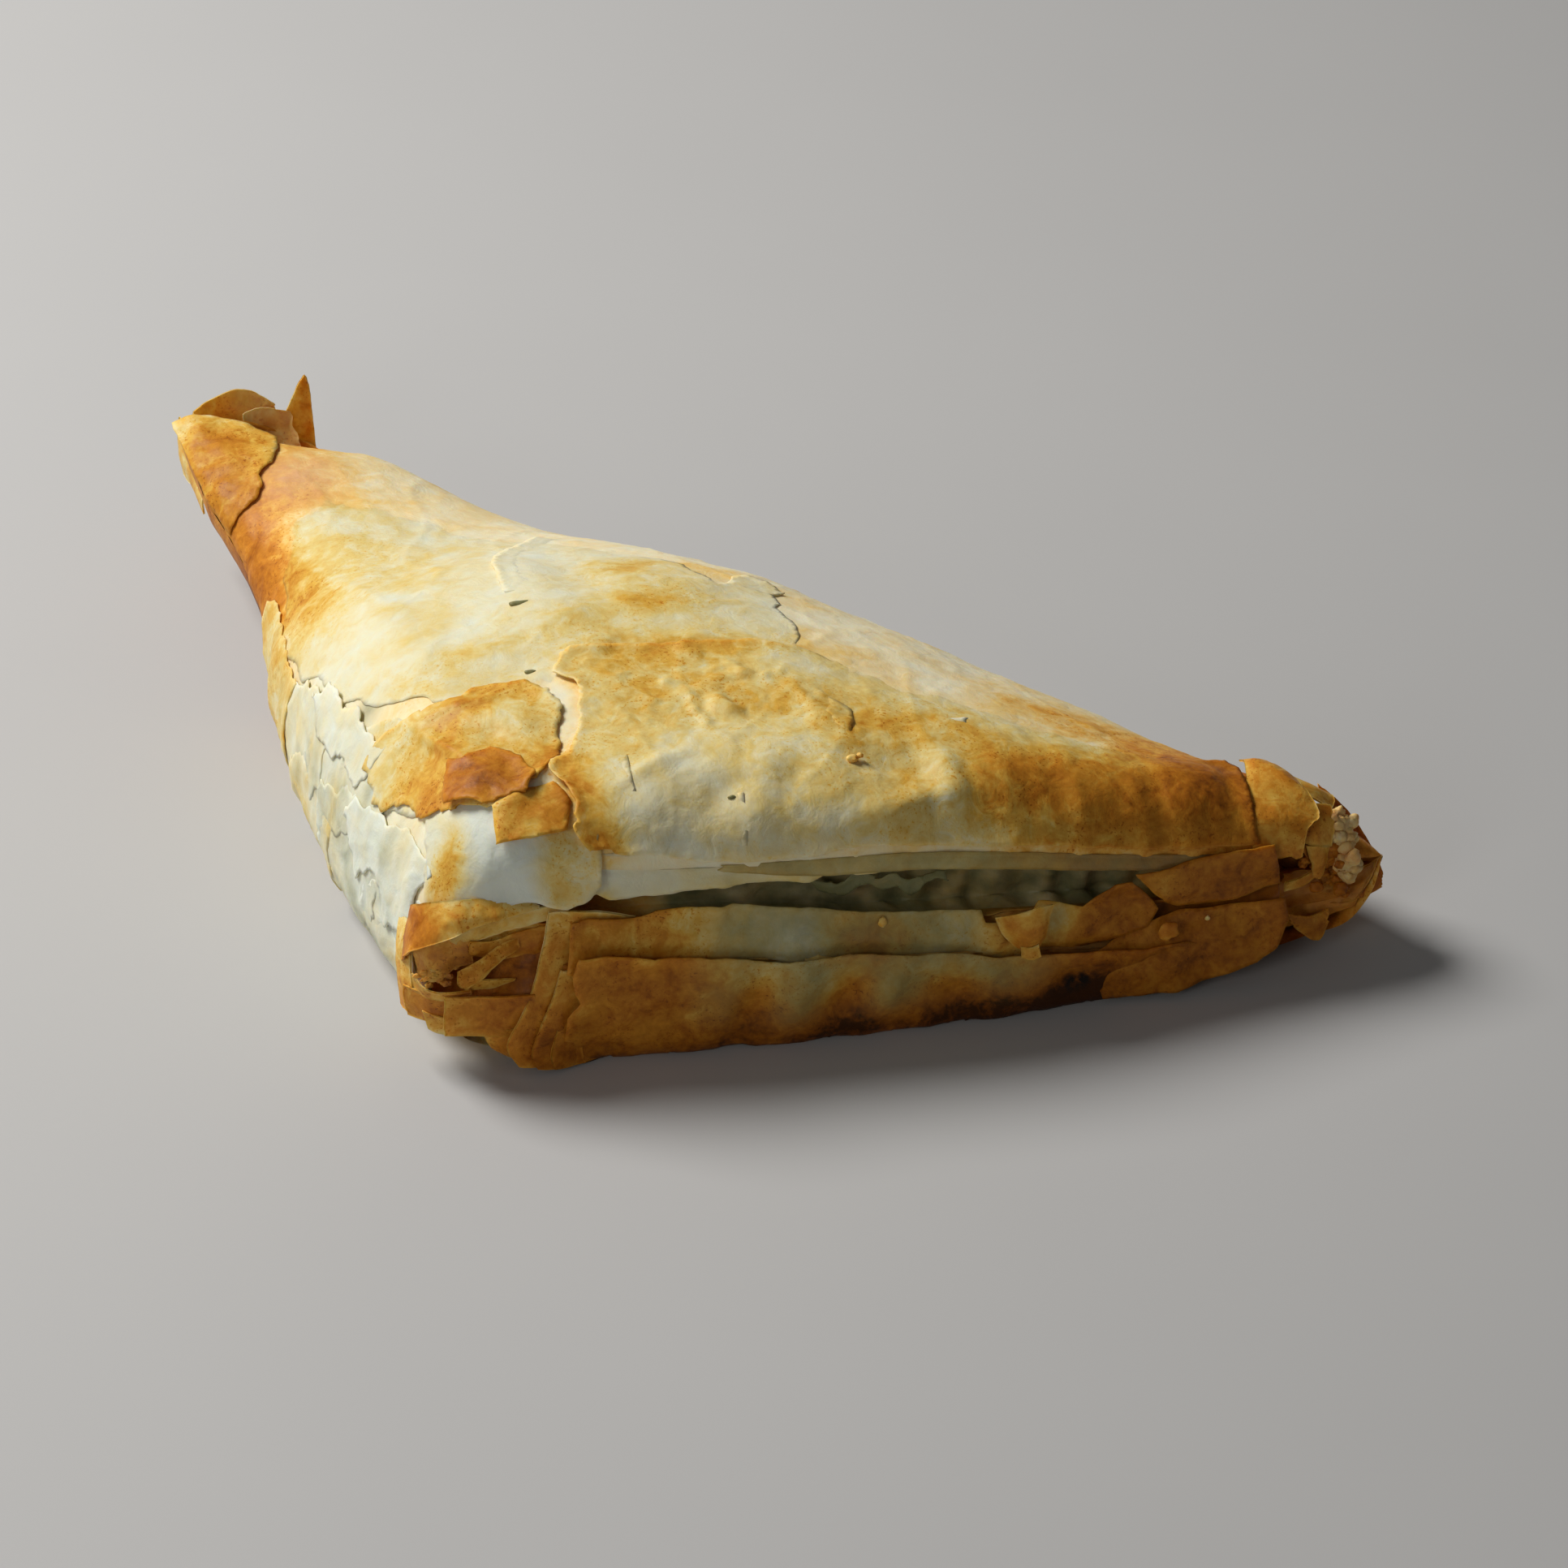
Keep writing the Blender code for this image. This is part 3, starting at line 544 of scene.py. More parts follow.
def torn_edge(outline, grain, ragged, seed):
    """A closed outline, (x, y, lift share, tear share), torn in and out at several scales."""
    corners = np.array([tuple(c) + (1.0,) * (4 - len(c)) for c in outline], float)
    made, sides, where, gone = [], [], [], 0.0
    for start, end in zip(corners, np.roll(corners, -1, axis=0)):
        length = np.hypot(*(end - start)[:2]) + 1e-9
        steps = max(1, int(round(length / grain)))
        share = np.arange(steps)[:, None] / steps
        made.append(start + (end - start) * share)
        sides.append(np.repeat([[-(end - start)[1] / length, (end - start)[0] / length]], steps, axis=0))
        where.append(gone + length * share[:, 0])
        gone += length
    edge, side, where = np.concatenate(made), np.concatenate(sides), np.concatenate(where)
    tear = jagged(where, 4.5, seed) + 0.5 * jagged(where, 1.7, seed + 1) + 0.25 * jagged(where, 0.8, seed + 2)
    edge[:, :2] += side * (tear * ragged * edge[:, 3])[:, None]
    return edge


def inside(points, outline):
    x, y = points[:, 0], points[:, 1]
    hit = np.zeros(len(points), bool)
    for (x0, y0), (x1, y1) in zip(outline, np.roll(outline, -1, axis=0)):
        crosses = (y0 > y) != (y1 > y)
        hit ^= crosses & (x < (x1 - x0) * (y - y0) / (y1 - y0 + 1e-12) + x0)
    return hit


def nearest_edge(points, edge):
    """Distance to the nearest edge point, and which it is."""
    far, which = np.empty(len(points)), np.empty(len(points), int)
    for k in range(0, len(points), 2000):
        gap = np.linalg.norm(points[k : k + 2000, None] - edge[None], axis=-1)
        which[k : k + 2000] = gap.argmin(1)
        far[k : k + 2000] = gap.min(1)
    return far, which


def cut_sheet(outline, grain, ragged, seed):
    """Flat triangles of a torn sheet: points, triangles, distance to the edge and lift share."""
    edge = torn_edge(outline, grain * 0.8, ragged, seed)
    low, high = edge[:, :2].min(0), edge[:, :2].max(0)
    gx, gy = np.meshgrid(np.arange(low[0], high[0], grain), np.arange(low[1], high[1], grain * 0.87))
    gx[::2] += grain / 2
    inner = np.stack([gx.ravel(), gy.ravel()], -1)
    inner = inner[inside(inner, edge[:, :2])]
    inner = inner[nearest_edge(inner, edge[:, :2])[0] > grain * 0.55]
    flat = np.concatenate([edge[:, :2], inner])
    found = geometry.delaunay_2d_cdt(
        [Vector(p) for p in flat], [], [list(range(len(edge)))], 1, 1e-5
    )
    flat = np.array([tuple(p) for p in found[0]])
    triangles = np.array([tuple(f) for f in found[2]])
    far, which = nearest_edge(flat, edge[:, :2])
    share = 1 + (edge[which, 2] - 1) * np.exp(-far / 3.0)
    return flat, triangles, far, share


def rim_of(triangles):
    """Edges of one triangle only, in winding order."""
    pairs = np.concatenate([triangles[:, [0, 1]], triangles[:, [1, 2]], triangles[:, [2, 0]]])
    keys = {(a, b) for a, b in pairs.tolist()}
    return np.array([(a, b) for a, b in keys if (b, a) not in keys])


def sheet(
    name,
    chart,
    outline,
    material,
    seed,
    baking,
    relief=None,
    lift=0.4,
    grain=0.6,
    ragged=0.5,
    curl=0.5,
    curl_reach=1.6,
    ripple=0.12,
    toasted=0.03,
    outward=(0.0, 0.0, 1.0),
    extras=None,
):
    """A torn sheet of filo laid on a chart, with its free edges curled up and baked a little more."""
    flat, triangles, far, share = cut_sheet(outline, grain, ragged, seed)
    base = chart(flat)
    normal = chart_normals(chart, flat, outward)
    height = lift * share + curl * np.exp(-((far / curl_reach) ** 2)) * np.clip(share, 0, 1)
    height = height * (1 + 0.6 * waves(base, 6.0, seed + 5)) + ripple * rumple(base, 4.5, seed + 7, 3)
    if relief is not None:
        height = height + relief(flat, base)
    top = base + normal * height[:, None]
    under = top - normal * bpy.context.scene.pie_crust.sheet_thickness
    count = len(flat)
    rim = rim_of(triangles)
    turned = np.cross(
        top[triangles[:, 1]] - top[triangles[:, 0]], top[triangles[:, 2]] - top[triangles[:, 0]]
    )
    if (turned * normal[triangles[:, 0]]).sum() < 0:
        triangles, rim = triangles[:, ::-1], rim[:, ::-1]
    faces = triangles.tolist() + (triangles[:, ::-1] + count).tolist()
    faces += [[b, a, a + count, b + count] for a, b in rim.tolist()]
    brown = baking(base) + toasted * np.exp(-far / 1.0)
    more = {}
    for key, worked in (extras or {}).items():
        value = worked(base) if callable(worked) else np.full(count, float(worked))
        more[key] = np.concatenate([value, value])
    return pie_mesh(name, np.concatenate([top, under]), faces, np.concatenate([brown, brown]), more, material)


def through(control, s, t):
    """Points of a smooth surface through a grid of control points, for shares s across and t down."""

    def weights(count, x):
        x = np.clip(x, 0, 1) * (count - 1)
        i = np.clip(np.floor(x).astype(int), 0, count - 2)
        f = x - i
        index = np.clip(np.stack([i - 1, i, i + 1, i + 2], -1), 0, count - 1)
        cubic = np.stack(
            [
                -0.5 * f + f**2 - 0.5 * f**3,
                1 - 2.5 * f**2 + 1.5 * f**3,
                0.5 * f + 2 * f**2 - 1.5 * f**3,
                -0.5 * f**2 + 0.5 * f**3,
            ],
            -1)
        return index, cubic

    control = np.asarray(control, float)
    ti, tw = weights(control.shape[0], t)
    si, sw = weights(control.shape[1], s)
    return np.einsum("...i,...j,...ijk->...k", tw, sw, control[ti[..., :, None], si[..., None, :]])


def flap(
    name, control, seed, baking=0.6, finish=None, thick=0.28, ragged=0.05, ripple=0.15, toasted=-0.12, extras=None
):
    """A free sheet bent through a grid of control points in millimetres, torn along all its edges."""
    grain = 0.5
    control = np.asarray(control, float)
    wide = np.linalg.norm(np.diff(control, axis=1), axis=-1).sum(1).max()
    tall = np.linalg.norm(np.diff(control, axis=0), axis=-1).sum(0).max()
    columns, rows = max(6, int(wide / grain)), max(5, int(tall / grain))
    t, s = np.meshgrid(np.linspace(0, 1, rows), np.linspace(0, 1, columns), indexing="ij")

    def torn(position, size, key):
        where = np.stack([position * size, 0 * position + key, 0 * position + seed * 1.3], -1)
        return np.abs(waves(where, 2.6, seed + key) + 0.5 * waves(where, 0.9, seed + key))

    s0, s1 = ragged * torn(t, tall, 1), 1 - ragged * torn(t, tall, 2)
    t0, t1 = ragged * torn(s, wide, 3), 1 - ragged * torn(s, wide, 4)
    grid = through(control, s0 + (s1 - s0) * s, t0 + (t1 - t0) * t)
    normal = grid_normals(grid)
    grid = grid + normal * (ripple * rumple(grid, 3.0, seed + 9, 3))[..., None]
    sides = np.concatenate([(grid + normal * thick / 2).reshape(-1, 3), (grid - normal * thick / 2).reshape(-1, 3)])
    count = rows * columns
    front = grid_faces(rows, columns)
    at = np.arange(count).reshape(rows, columns)
    loop = np.concatenate([at[0, :-1], at[:-1, -1], at[-1, :0:-1], at[:0:-1, 0]])
    after = np.roll(loop, -1)
    rim = np.stack([loop, loop + count, after + count, after], -1)
    faces = np.concatenate([front[:, ::-1], front + count, rim])
    edge_gap = np.minimum(np.minimum(s, 1 - s) * wide, np.minimum(t, 1 - t) * tall)
    brown = baking(grid) if callable(baking) else np.full(grid.shape[:2], float(baking))
    brown = brown + toasted * np.exp(-edge_gap / 0.8) + 0.08 * rumple(grid, 4.0, seed + 3, 2)
    more = {}
    for key, worked in (extras or {}).items():
        value = worked(grid) if callable(worked) else np.full(grid.shape[:2], float(worked))
        more[key] = np.tile(value.ravel(), 2)
    return pie_mesh(name, sides, faces, np.tile(brown.ravel(), 2), more, finish or thin_filo())


def lumps(name, places, baking, rough, seed, rosy=0.0, green=0.0):
    """Closed rough lumps, each (x, y, z, reach, reach, reach) in millimetres."""
    ball = bmesh.new()
    bmesh.ops.create_icosphere(ball, subdivisions=3, radius=1.0)
    round_points = np.array([tuple(v.co) for v in ball.verts])
    round_faces = np.array([[v.index for v in f.verts] for f in ball.faces])
    ball.free()
    points, faces = [], []
    for x, y, z, rx, ry, rz in places:
        shape = round_points * [rx, ry, rz]
        swell = 1 + rough * rumple(shape + [x * 3, y * 3, z * 3], max(rx, ry, rz) * 0.9, seed, 3)
        faces.append(round_faces + len(round_points) * len(points))
        points.append(shape * swell[:, None] + [x, y, z])
    points = np.concatenate(points)
    brown = baking + 0.12 * rumple(points, 1.5, seed + 1, 2)
    extras = {"rosy": np.full(len(points), rosy), "leaf_green": np.full(len(points), green)}
    return pie_mesh(name, points, np.concatenate(faces), brown, extras, thin_filo())


# ---------------------------------------------------------------- shader expressions
class Wire:
    """A shader value that can be used in Python arithmetic."""

    def __init__(self, recipe, socket):
        self.recipe = recipe
        self.socket = socket

    def math(self, operation, *values):
        return self.recipe.node(
            "ShaderNodeMath", {"operation": operation}, dict(enumerate(values))
        )

    def __add__(self, other):
        return self.math("ADD", self, other)

    __radd__ = __add__

    def __sub__(self, other):
        return self.math("SUBTRACT", self, other)

    def __rsub__(self, other):
        return self.math("SUBTRACT", other, self)

    def __mul__(self, other):
        return self.math("MULTIPLY", self, other)

    __rmul__ = __mul__

    def between(self, low, high):
        """0 at low and 1 at high, smoothly."""
        return self.recipe.node(
            "ShaderNodeMapRange",
            {"interpolation_type": "SMOOTHSTEP"},
            {"Value": self, "From Min": low, "From Max": high})


class Recipe:
    """The nodes of one material."""

    def __init__(self, name):
        self.material = bpy.data.materials.new(name)
        self.material.use_nodes = True
        self.tree = self.material.node_tree
        self.shader = self.tree.nodes["Principled BSDF"]
        self.place = self.node("ShaderNodeTexCoord", output="Object")

    def node(self, kind, settings=None, values=None, output=0):
        made = self.tree.nodes.new(kind)
        for key, value in (settings or {}).items():
            if key == "stops":
                stops = made.color_ramp.elements
                while len(stops) < len(value):
                    stops.new(0.5)
                for stop, (position, colour) in zip(stops, value):
                    stop.position = position
                    stop.color = (*colour, 1.0)
            else:
                setattr(made, key, value)
        for key, value in (values or {}).items():
            if isinstance(value, Wire):
                self.tree.links.new(value.socket, made.inputs[key])
            else:
                made.inputs[key].default_value = value
        return Wire(self, made.outputs[output])

    def stored(self, name):
        """A value stored on the points of the mesh."""
        return self.node("ShaderNodeAttribute", {"attribute_name": name}, output="Fac")

    def noise(self, size_mm, detail=3.0, roughness=0.5, stretch=None, warp=0.0):
        """Noise from 0 to 1 with features of about that size."""
        place = self.place
        if stretch:
            place = self.node("ShaderNodeMapping", None, {"Vector": place, "Scale": stretch})
        return self.node(
            "ShaderNodeTexNoise",
            None,
            {
                "Vector": place,
                "Scale": 1 / (size_mm * MM),
                "Detail": detail,
                "Roughness": roughness,
                "Distortion": warp,
            })

    def mix(self, share, first, second):
        """A colour between two, by share."""
        return self.node(
            "ShaderNodeMix", {"data_type": "RGBA"}, {0: share, 6: first, 7: second}, output=2
        )

    def bump(self, height, distance_mm, strength=1.0, under=None):
        values = {"Height": height, "Distance": distance_mm * MM, "Strength": strength}
        if under is not None:
            values["Normal"] = under
        return self.node("ShaderNodeBump", None, values)

    def finish(self, links, fixed):
        for key, value in links.items():
            self.tree.links.new(value.socket, self.shader.inputs[key])
        for key, value in fixed.items():
            self.shader.inputs[key].default_value = value
        return self.material


def colour(values):
    return (*values, 1.0)


# Each tone of the crust and how far baked it is there.
TOASTING = (
    (0.00, "raw"), (0.16, "cream"), (0.32, "straw"), (0.47, "gold"), (0.62, "amber"), (0.78, "brown"),
    (0.92, "umber"), (1.00, "burnt"),
)
# The near-black tone mixed in where the blackening value is stored.
BLACKENED = (0.012, 0.008, 0.006)


def filo_material(name, freckles=1.0, mottle=1.0, oil=0.25, glow=0.22, gloss=0.46):
    """Baked filo: stored baking, in places also painted shade or highlight, broken up by blotches and freckles, with a
    dusty, slightly oily surface.
    """
    crust = bpy.context.scene.pie_crust
    r = Recipe(name)
    baking = r.stored("baking")
    leaf = r.stored("leaf_green")
    wide = r.noise(11.0, 4.0, 0.55, warp=0.6) - 0.5
    blotch = r.noise(3.4, 5.0, 0.62, warp=0.8) - 0.5
    fine = r.noise(0.9, 3.0, 0.6) - 0.5
    warm = baking.between(0.08, 0.45)
    dark = baking.between(0.50, 0.85)
    patchy = 0.22 + 0.42 * warm - 0.14 * dark
    brown = baking + mottle * ((0.50 - 0.10 * dark) * wide + patchy * blotch + 0.26 * warm * fine)
    specks = r.noise(0.42, 1.0, 0.5).between(0.60, 0.70) * r.noise(5.0, 2.0).between(0.40, 0.60)
    brown = brown + freckles * (0.20 - 0.14 * dark) * warm * specks
    stops = [(place, getattr(crust, tone)) for place, tone in TOASTING]
    toast = r.node("ShaderNodeValToRGB", {"stops": stops}, {"Fac": brown})
    toast = r.mix((r.stored("rosy") * (0.6 + 0.8 * blotch)).between(0.0, 1.0), toast, colour(crust.rosy))
    green = leaf * (0.55 + 0.9 * r.noise(4.0, 3.0, 0.6))
    toast = r.mix(green.between(0.0, 1.0), toast, colour(crust.leaf))
    # Blackening turns a patchy spot near black.
    char = r.stored("char") * r.noise(1.2, 3.0, 0.6).between(0.35, 0.6)
    toast = r.mix(char, toast, colour(BLACKENED))
    rough = gloss + 0.16 * r.noise(6.0, 2.0) + 0.10 * fine - 0.05 * warm
    dust = r.noise(0.55, 4.0, 0.65)
    pores = r.noise(1.6, 3.0, 0.55)
    normal = r.bump(r.noise(3.4, 4.0, 0.6, warp=0.8), 0.5, 0.35)
    normal = r.bump(pores, 0.16, 0.55, normal)
    normal = r.bump(dust, 0.05, 0.6, normal)
    return r.finish(
        {"Base Color": toast, "Roughness": rough, "Normal": normal},
        {
            "Subsurface Weight": glow,
            "Subsurface Radius": (1.0, 0.55, 0.22),
            "Subsurface Scale": 0.0022,
            "Coat Weight": oil * 0.14,
            "Coat Roughness": 0.30,
            "Specular IOR Level": 0.14,
        },
    )


def pastry(name, **changes):
    """The named filo material, made once."""
    found = bpy.data.materials.get(name)
    return found if found else filo_material(name, **changes)


def crust_filo():
    return pastry("baked_filo_crust")


def thin_filo():
    return pastry("baked_filo_sheet", oil=0.3, glow=0.3)


def moist_filo():
    """Sheets kept damp by the filling, smoother and more see-through."""
    return pastry("damp_filo", freckles=0.3, mottle=0.6, oil=0.9, glow=0.35, gloss=0.34)


# ---------------------------------------------------------------- settings
class PieCrust(bpy.types.PropertyGroup):
    """Sizes and colours of the crust."""

    rumpling: bpy.props.FloatProperty(
        name="Rumpling", description="Depth of blisters, dents and folds", default=1.0, min=0.0, max=2.0
    )
    sheet_thickness: bpy.props.FloatProperty(
        name="Sheet thickness",
        description="Thickness of a torn sheet of filo, in millimetres",
        default=0.2,
        min=0.1,
        max=1.0,
    )
    raw: bpy.props.FloatVectorProperty(
        name="Raw", description="Unbaked, floury filo", subtype="COLOR", default=(0.85, 0.845, 0.67)
    )
    cream: bpy.props.FloatVectorProperty(
        name="Cream", description="Lightly baked filo", subtype="COLOR", default=(0.88, 0.76, 0.47)
    )
    straw: bpy.props.FloatVectorProperty(
        name="Straw", description="Filo turning gold", subtype="COLOR", default=(0.86, 0.60, 0.21)
    )
    gold: bpy.props.FloatVectorProperty(
        name="Gold", description="Golden filo", subtype="COLOR", default=(0.78, 0.41, 0.065)
    )
    amber: bpy.props.FloatVectorProperty(
        name="Amber", description="Well baked filo", subtype="COLOR", default=(0.62, 0.235, 0.020)
    )
    brown: bpy.props.FloatVectorProperty(
        name="Brown", description="Browned corners", subtype="COLOR", default=(0.42, 0.130, 0.008)
    )
    umber: bpy.props.FloatVectorProperty(
        name="Umber", description="Dark edges", subtype="COLOR", default=(0.20, 0.055, 0.004)
    )
    burnt: bpy.props.FloatVectorProperty(
        name="Burnt", description="The darkest spots", subtype="COLOR", default=(0.06, 0.018, 0.003)
    )
    rosy: bpy.props.FloatVectorProperty(
        name="Rosy", description="Filo baked pinkish over the filling", subtype="COLOR", default=(0.78, 0.47, 0.27)
    )
    leaf: bpy.props.FloatVectorProperty(
        name="Leaf green",
        description="Filo with spinach showing through",
        subtype="COLOR",
        default=(0.20, 0.20, 0.09),
    )


class PieStage(bpy.types.PropertyGroup):
    """Floor, light and camera."""

    floor_colour: bpy.props.FloatVectorProperty(
        name="Floor", description="Colour of the floor", subtype="COLOR", default=(0.50, 0.50, 0.50)
    )
    key_power: bpy.props.FloatProperty(
        name="Key light", description="Power of the large soft light", default=8.2, unit="POWER"
    )
    fill_power: bpy.props.FloatProperty(
        name="Fill light", description="Power of the weak light from the front", default=0.52, unit="POWER"
    )
    field_of_view: bpy.props.FloatProperty(
        name="Field of view",
        description="Angle seen by the camera",
        default=math.radians(16.0),
        subtype="ANGLE",
    )
    camera_distance: bpy.props.FloatProperty(
        name="Camera distance", description="From the pie", default=0.78885, unit="LENGTH"
    )


# ---------------------------------------------------------------- crust
SKIN_STEP, SKIN_ROWS = 0.5, 260
UNDER_STEP, FOLD_ROWS = 0.8, 130


def even_arcs(length, step):
    return np.linspace(0, length, int(round(length / step)) + 1)


def row_shares(step):
    """Shares along the front leg, closer together where the ends round over."""
    left = unroll(even_arcs(LEFT_ROUND * math.pi / 2, step), LEFT_ROUND)
    right = FRONT_LEG - unroll(even_arcs(RIGHT_ROUND * math.pi / 2, step), RIGHT_ROUND)
    middle = np.arange(left[-1] + step, right[-1] - step * 0.5, step)
    return np.concatenate([left, middle, right[::-1]]) / FRONT_LEG


def make_skin():
    """The upper skin: crown, left side and back, from the lip to the long fold."""
    u = row_shares(SKIN_STEP)
    t = np.linspace(0, 1, SKIN_ROWS)
    share = 0.5 * (t + (1 - np.cos(math.pi * t)) / 2)
    u, share = np.meshgrid(u, share, indexing="ij")
    _, width = section(u, 0 * u)
    v = share * width
    plan, _ = section(u, v)
    q = u * FRONT_LEG
    grid = raised(plan, top_height(u, v, plan, width) - CORE_DROP * core(q) * end_share(u))
    normal = grid_normals(grid)
    normal *= np.sign(normal[normal.shape[0] // 2, normal.shape[1] // 2, 2])
    relief = skin_rumple(q, v, grid)
    grid = grid + normal * (relief * ramp(width - v, 0.0, 6.0))[..., None]
    grid[..., 2] -= tip_hollow(plan) * ramp(width - v, 0.0, 1.2)
    pale = side_paleness(q, v)
    baking = crust_baking(grid) - 0.12 * pale + 0.10 * relief * (1 - pale)
    # Where the skin sinks inside the open tip it is darkened as painted shade.
    baking = baking + 0.35 * ramp(tip_hollow(plan), 0.5, 3.0) + 0.34 * core(q)
    green = 0.20 * pale * (1 + rumple(grid, 7.0, 81, 2)) + 0.5 * spot(q, v, (6.0, 40.0), (2.5, 3.0))
    return pie_mesh(
        "crust_skin",
        grid.reshape(-1, 3),
        grid_faces(*q.shape),
        baking.ravel(),
        {"leaf_green": green.ravel(), "rosy": tip_rosiness(grid).ravel()},
        crust_filo(),
    )


def make_underside():
    """The flat underside and the lower half of the folded sides."""
    u = row_shares(UNDER_STEP)
    t = np.linspace(0, 1, FOLD_ROWS)
    share = 0.4 * t + 0.6 * (1 - np.cos(math.pi * t)) / 2
    u, share = np.meshgrid(u, share, indexing="ij")
    _, width = section(u, 0 * u)
    v = share * width
    plan, _ = section(u, v)
    grid = raised(plan, under_height(u, v, width))
    normal = grid_normals(grid)
    normal *= -np.sign(normal[normal.shape[0] // 2, normal.shape[1] // 2, 2])
    fade = ramp(grid[..., 2], 0.5, 4.0) * ramp(width - v, 0, 4) * ramp(u * FRONT_LEG, 0, 2)
    grid = grid + normal * (0.4 * rumple(grid, 10.0, 91, 3) * fade)[..., None]
    baking = 0.36 + hot_spots(grid, HEAT) * 0.9 + 0.2 * rumple(grid, 15.0, 93, 2)
    pale = side_paleness(u * FRONT_LEG, v)
    return pie_mesh(
        "crust_underside",
        grid.reshape(-1, 3),
        grid_faces(*u.shape)[:, ::-1],
        (baking - 0.3 * pale).ravel(),
        {"leaf_green": (0.15 * pale).ravel()},
        crust_filo(),
    )


def front_columns(u):
    """The folded front, from the upper lip through the slit to the foot: (depth in, height)."""
    q = u * FRONT_LEG
    up, low, second = along(u, UPPER_LIP), along(u, LOWER_LIP), along(u, SECOND_FOLD)
    mouth = MOUTH_DEPTH * (1 - 0.6 * core(q))
    back = POCKET_SETBACK * pocket(q)
    return (
        (0.1 + 0 * u, up), (mouth * 0.75, up + 0.3), (mouth, up + 0.2), (mouth - 0.8, (low + up) / 2),
        (mouth, low - 1.6), (mouth * 0.45 + back * 0.5, low - 2.2), (1.0 + back, low - 1.2), (0.4 + back, low - 0.2),
        (-0.5 + back, (low + second) / 2), (-0.8 + back, second + 0.2), (-1.9 + back, second - 0.6),
        (-2.2 + back * 0.9, second * 0.55), (-1.8 + back * 0.5, second * 0.2), (-0.6, 0.0 * u),
    )


def make_front():
    """The front under its sheets: the damp lining of the slit, the lip and the lowest fold."""
    q, t = np.meshgrid(row_shares(SKIN_STEP) * FRONT_LEG, np.linspace(0, 1, FOLD_ROWS), indexing="ij")
    u = q / FRONT_LEG
    columns = front_columns(u)
    place = t * (len(columns) - 1)
    depth, height = 0 * u, 0 * u
    for k in range(len(columns) - 1):
        share = place - k
        here = (share >= 0) & (share <= 1)
        depth = np.where(here, columns[k][0] + (columns[k + 1][0] - columns[k][0]) * share, depth)
        height = np.where(here, columns[k][1] + (columns[k + 1][1] - columns[k][1]) * share, height)
    inset = (depth + CORE_SETBACK * core(q + CUFF_STEP)) * end_share(u)
    plan, _ = section(u, np.clip(inset, 0, None))
    plan[..., 1] += np.clip(inset, None, 0)
    grid = raised(plan, FOLD_HEIGHT + (height - FOLD_HEIGHT) * end_share(u))
    normal = grid_normals(grid)
    normal *= -np.sign(normal[..., 1].mean())
    inner = 1 - ramp(place, 4.5, 6.5)
    satin = 0.5 * np.sin(q * 1.15 + 2.0 * waves(grid * [1, 1, 0.3], 9.0, 107)) * spot(q, 0 * q, (84, 0), (22, 9))
    rumples = 0.45 * rumple(grid * [1.0, 1.0, 0.5], 6.0, 101, 3) + 0.3 * creases(grid, 6.0, 103)
    fade = ramp(t, 0.03, 0.10) * ramp(1 - t, 0.0, 0.05) * ramp(q, 0, 3) * ramp(FRONT_LEG - q, 0, 3)
    sunk = (np.minimum(wall_relief(q, grid[..., 2], grid), 0) - 0.5) * (1 - inner)
    grid = grid + normal * ((rumples + satin * inner) * fade + sunk)[..., None]
    wet = ramp(q, 22.0, 36.0) * (1 - ramp(q, 90.0, 110.0))
    green = inner * (0.22 + 0.58 * wet) * (0.8 + 0.45 * rumple(grid, 5.0, 105, 3)) * (1 - core(q))
    green = green * (1 - 0.95 * pocket(q)) + 0.35 * wet * (1 - inner)
    baking = (0.26 + 0.35 * (1 - wet)) * inner + (front_baking(grid) + 0.12) * (1 - inner)
    hidden = np.maximum(pocket(q), core(q + CUFF_STEP))
    baking = baking * (1 - hidden) + 0.62 * hidden
    return pie_mesh(
        "front_fold",
        grid.reshape(-1, 3),
        grid_faces(*q.shape),
        baking.ravel(),
        {"leaf_green": green.ravel(), "rosy": (0.25 * core(q)).ravel()},
        moist_filo(),
    )


class PIE_OT_crust(bpy.types.Operator):
    """Build the crust: the upper skin, the underside and the folded front"""

    bl_idname = "pie.crust"
    bl_label = "Crust"

    def execute(self, context):
        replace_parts(make_skin(), NODE)
        make_underside()
        make_front()
        return {"FINISHED"}


# ---------------------------------------------------------------- sheets
FRONT = (0.0, -1.0, 0.2)
LEFT = (-1.0, 0.0, 0.3)


def on_upper(flat, base):
    q, v = unroll(flat[:, 0], LEFT_ROUND), unroll(flat[:, 1], FRONT_ROUND)
    return skin_rumple(q, v + np.clip(flat[:, 1], None, 0), base)


def on_front(flat, base):
    return wall_relief(flat[:, 0], flat[:, 1], base)


def on_left(flat, base):
    return left_relief(flat[:, 0], flat[:, 1], base)


def top_sheet(name, seed, outline, baked=0.04, spots=(), extras=None, **shape):
    """A sheet on the upper skin: outline of (along the front, in from the edge, lift and tear share)."""
    chart = [(*on_skin(p[0], p[1]), *p[2:]) for p in outline]

    def baking(p):
        return crust_baking(p) + baked + hot_spots(p, spots)

    more = {"rosy": tip_rosiness, **(extras or {})}
    return sheet(name, skin, chart, thin_filo(), seed, baking, relief=on_upper, extras=more, **shape)


def front_sheet(name, seed, chart, outline, baked=0.0, spots=(), extras=None, finish=None, **shape):
    """A sheet on the front: outline of (along the front, height, lift share)."""

    def baking(p):
        return front_baking(p) + baked + spotted(p[..., 0], p[..., 2], spots)

    finish = finish or thin_filo()
    return sheet(name, chart, outline, finish, seed, baking, relief=on_front, outward=FRONT, extras=extras, **shape)


def greening(start, full, fade, end, amount):
    """A stretch along the front where the spinach shows through."""
    return lambda p: amount * ramp(p[..., 0], start, full) * (1 - ramp(p[..., 0], fade, end))


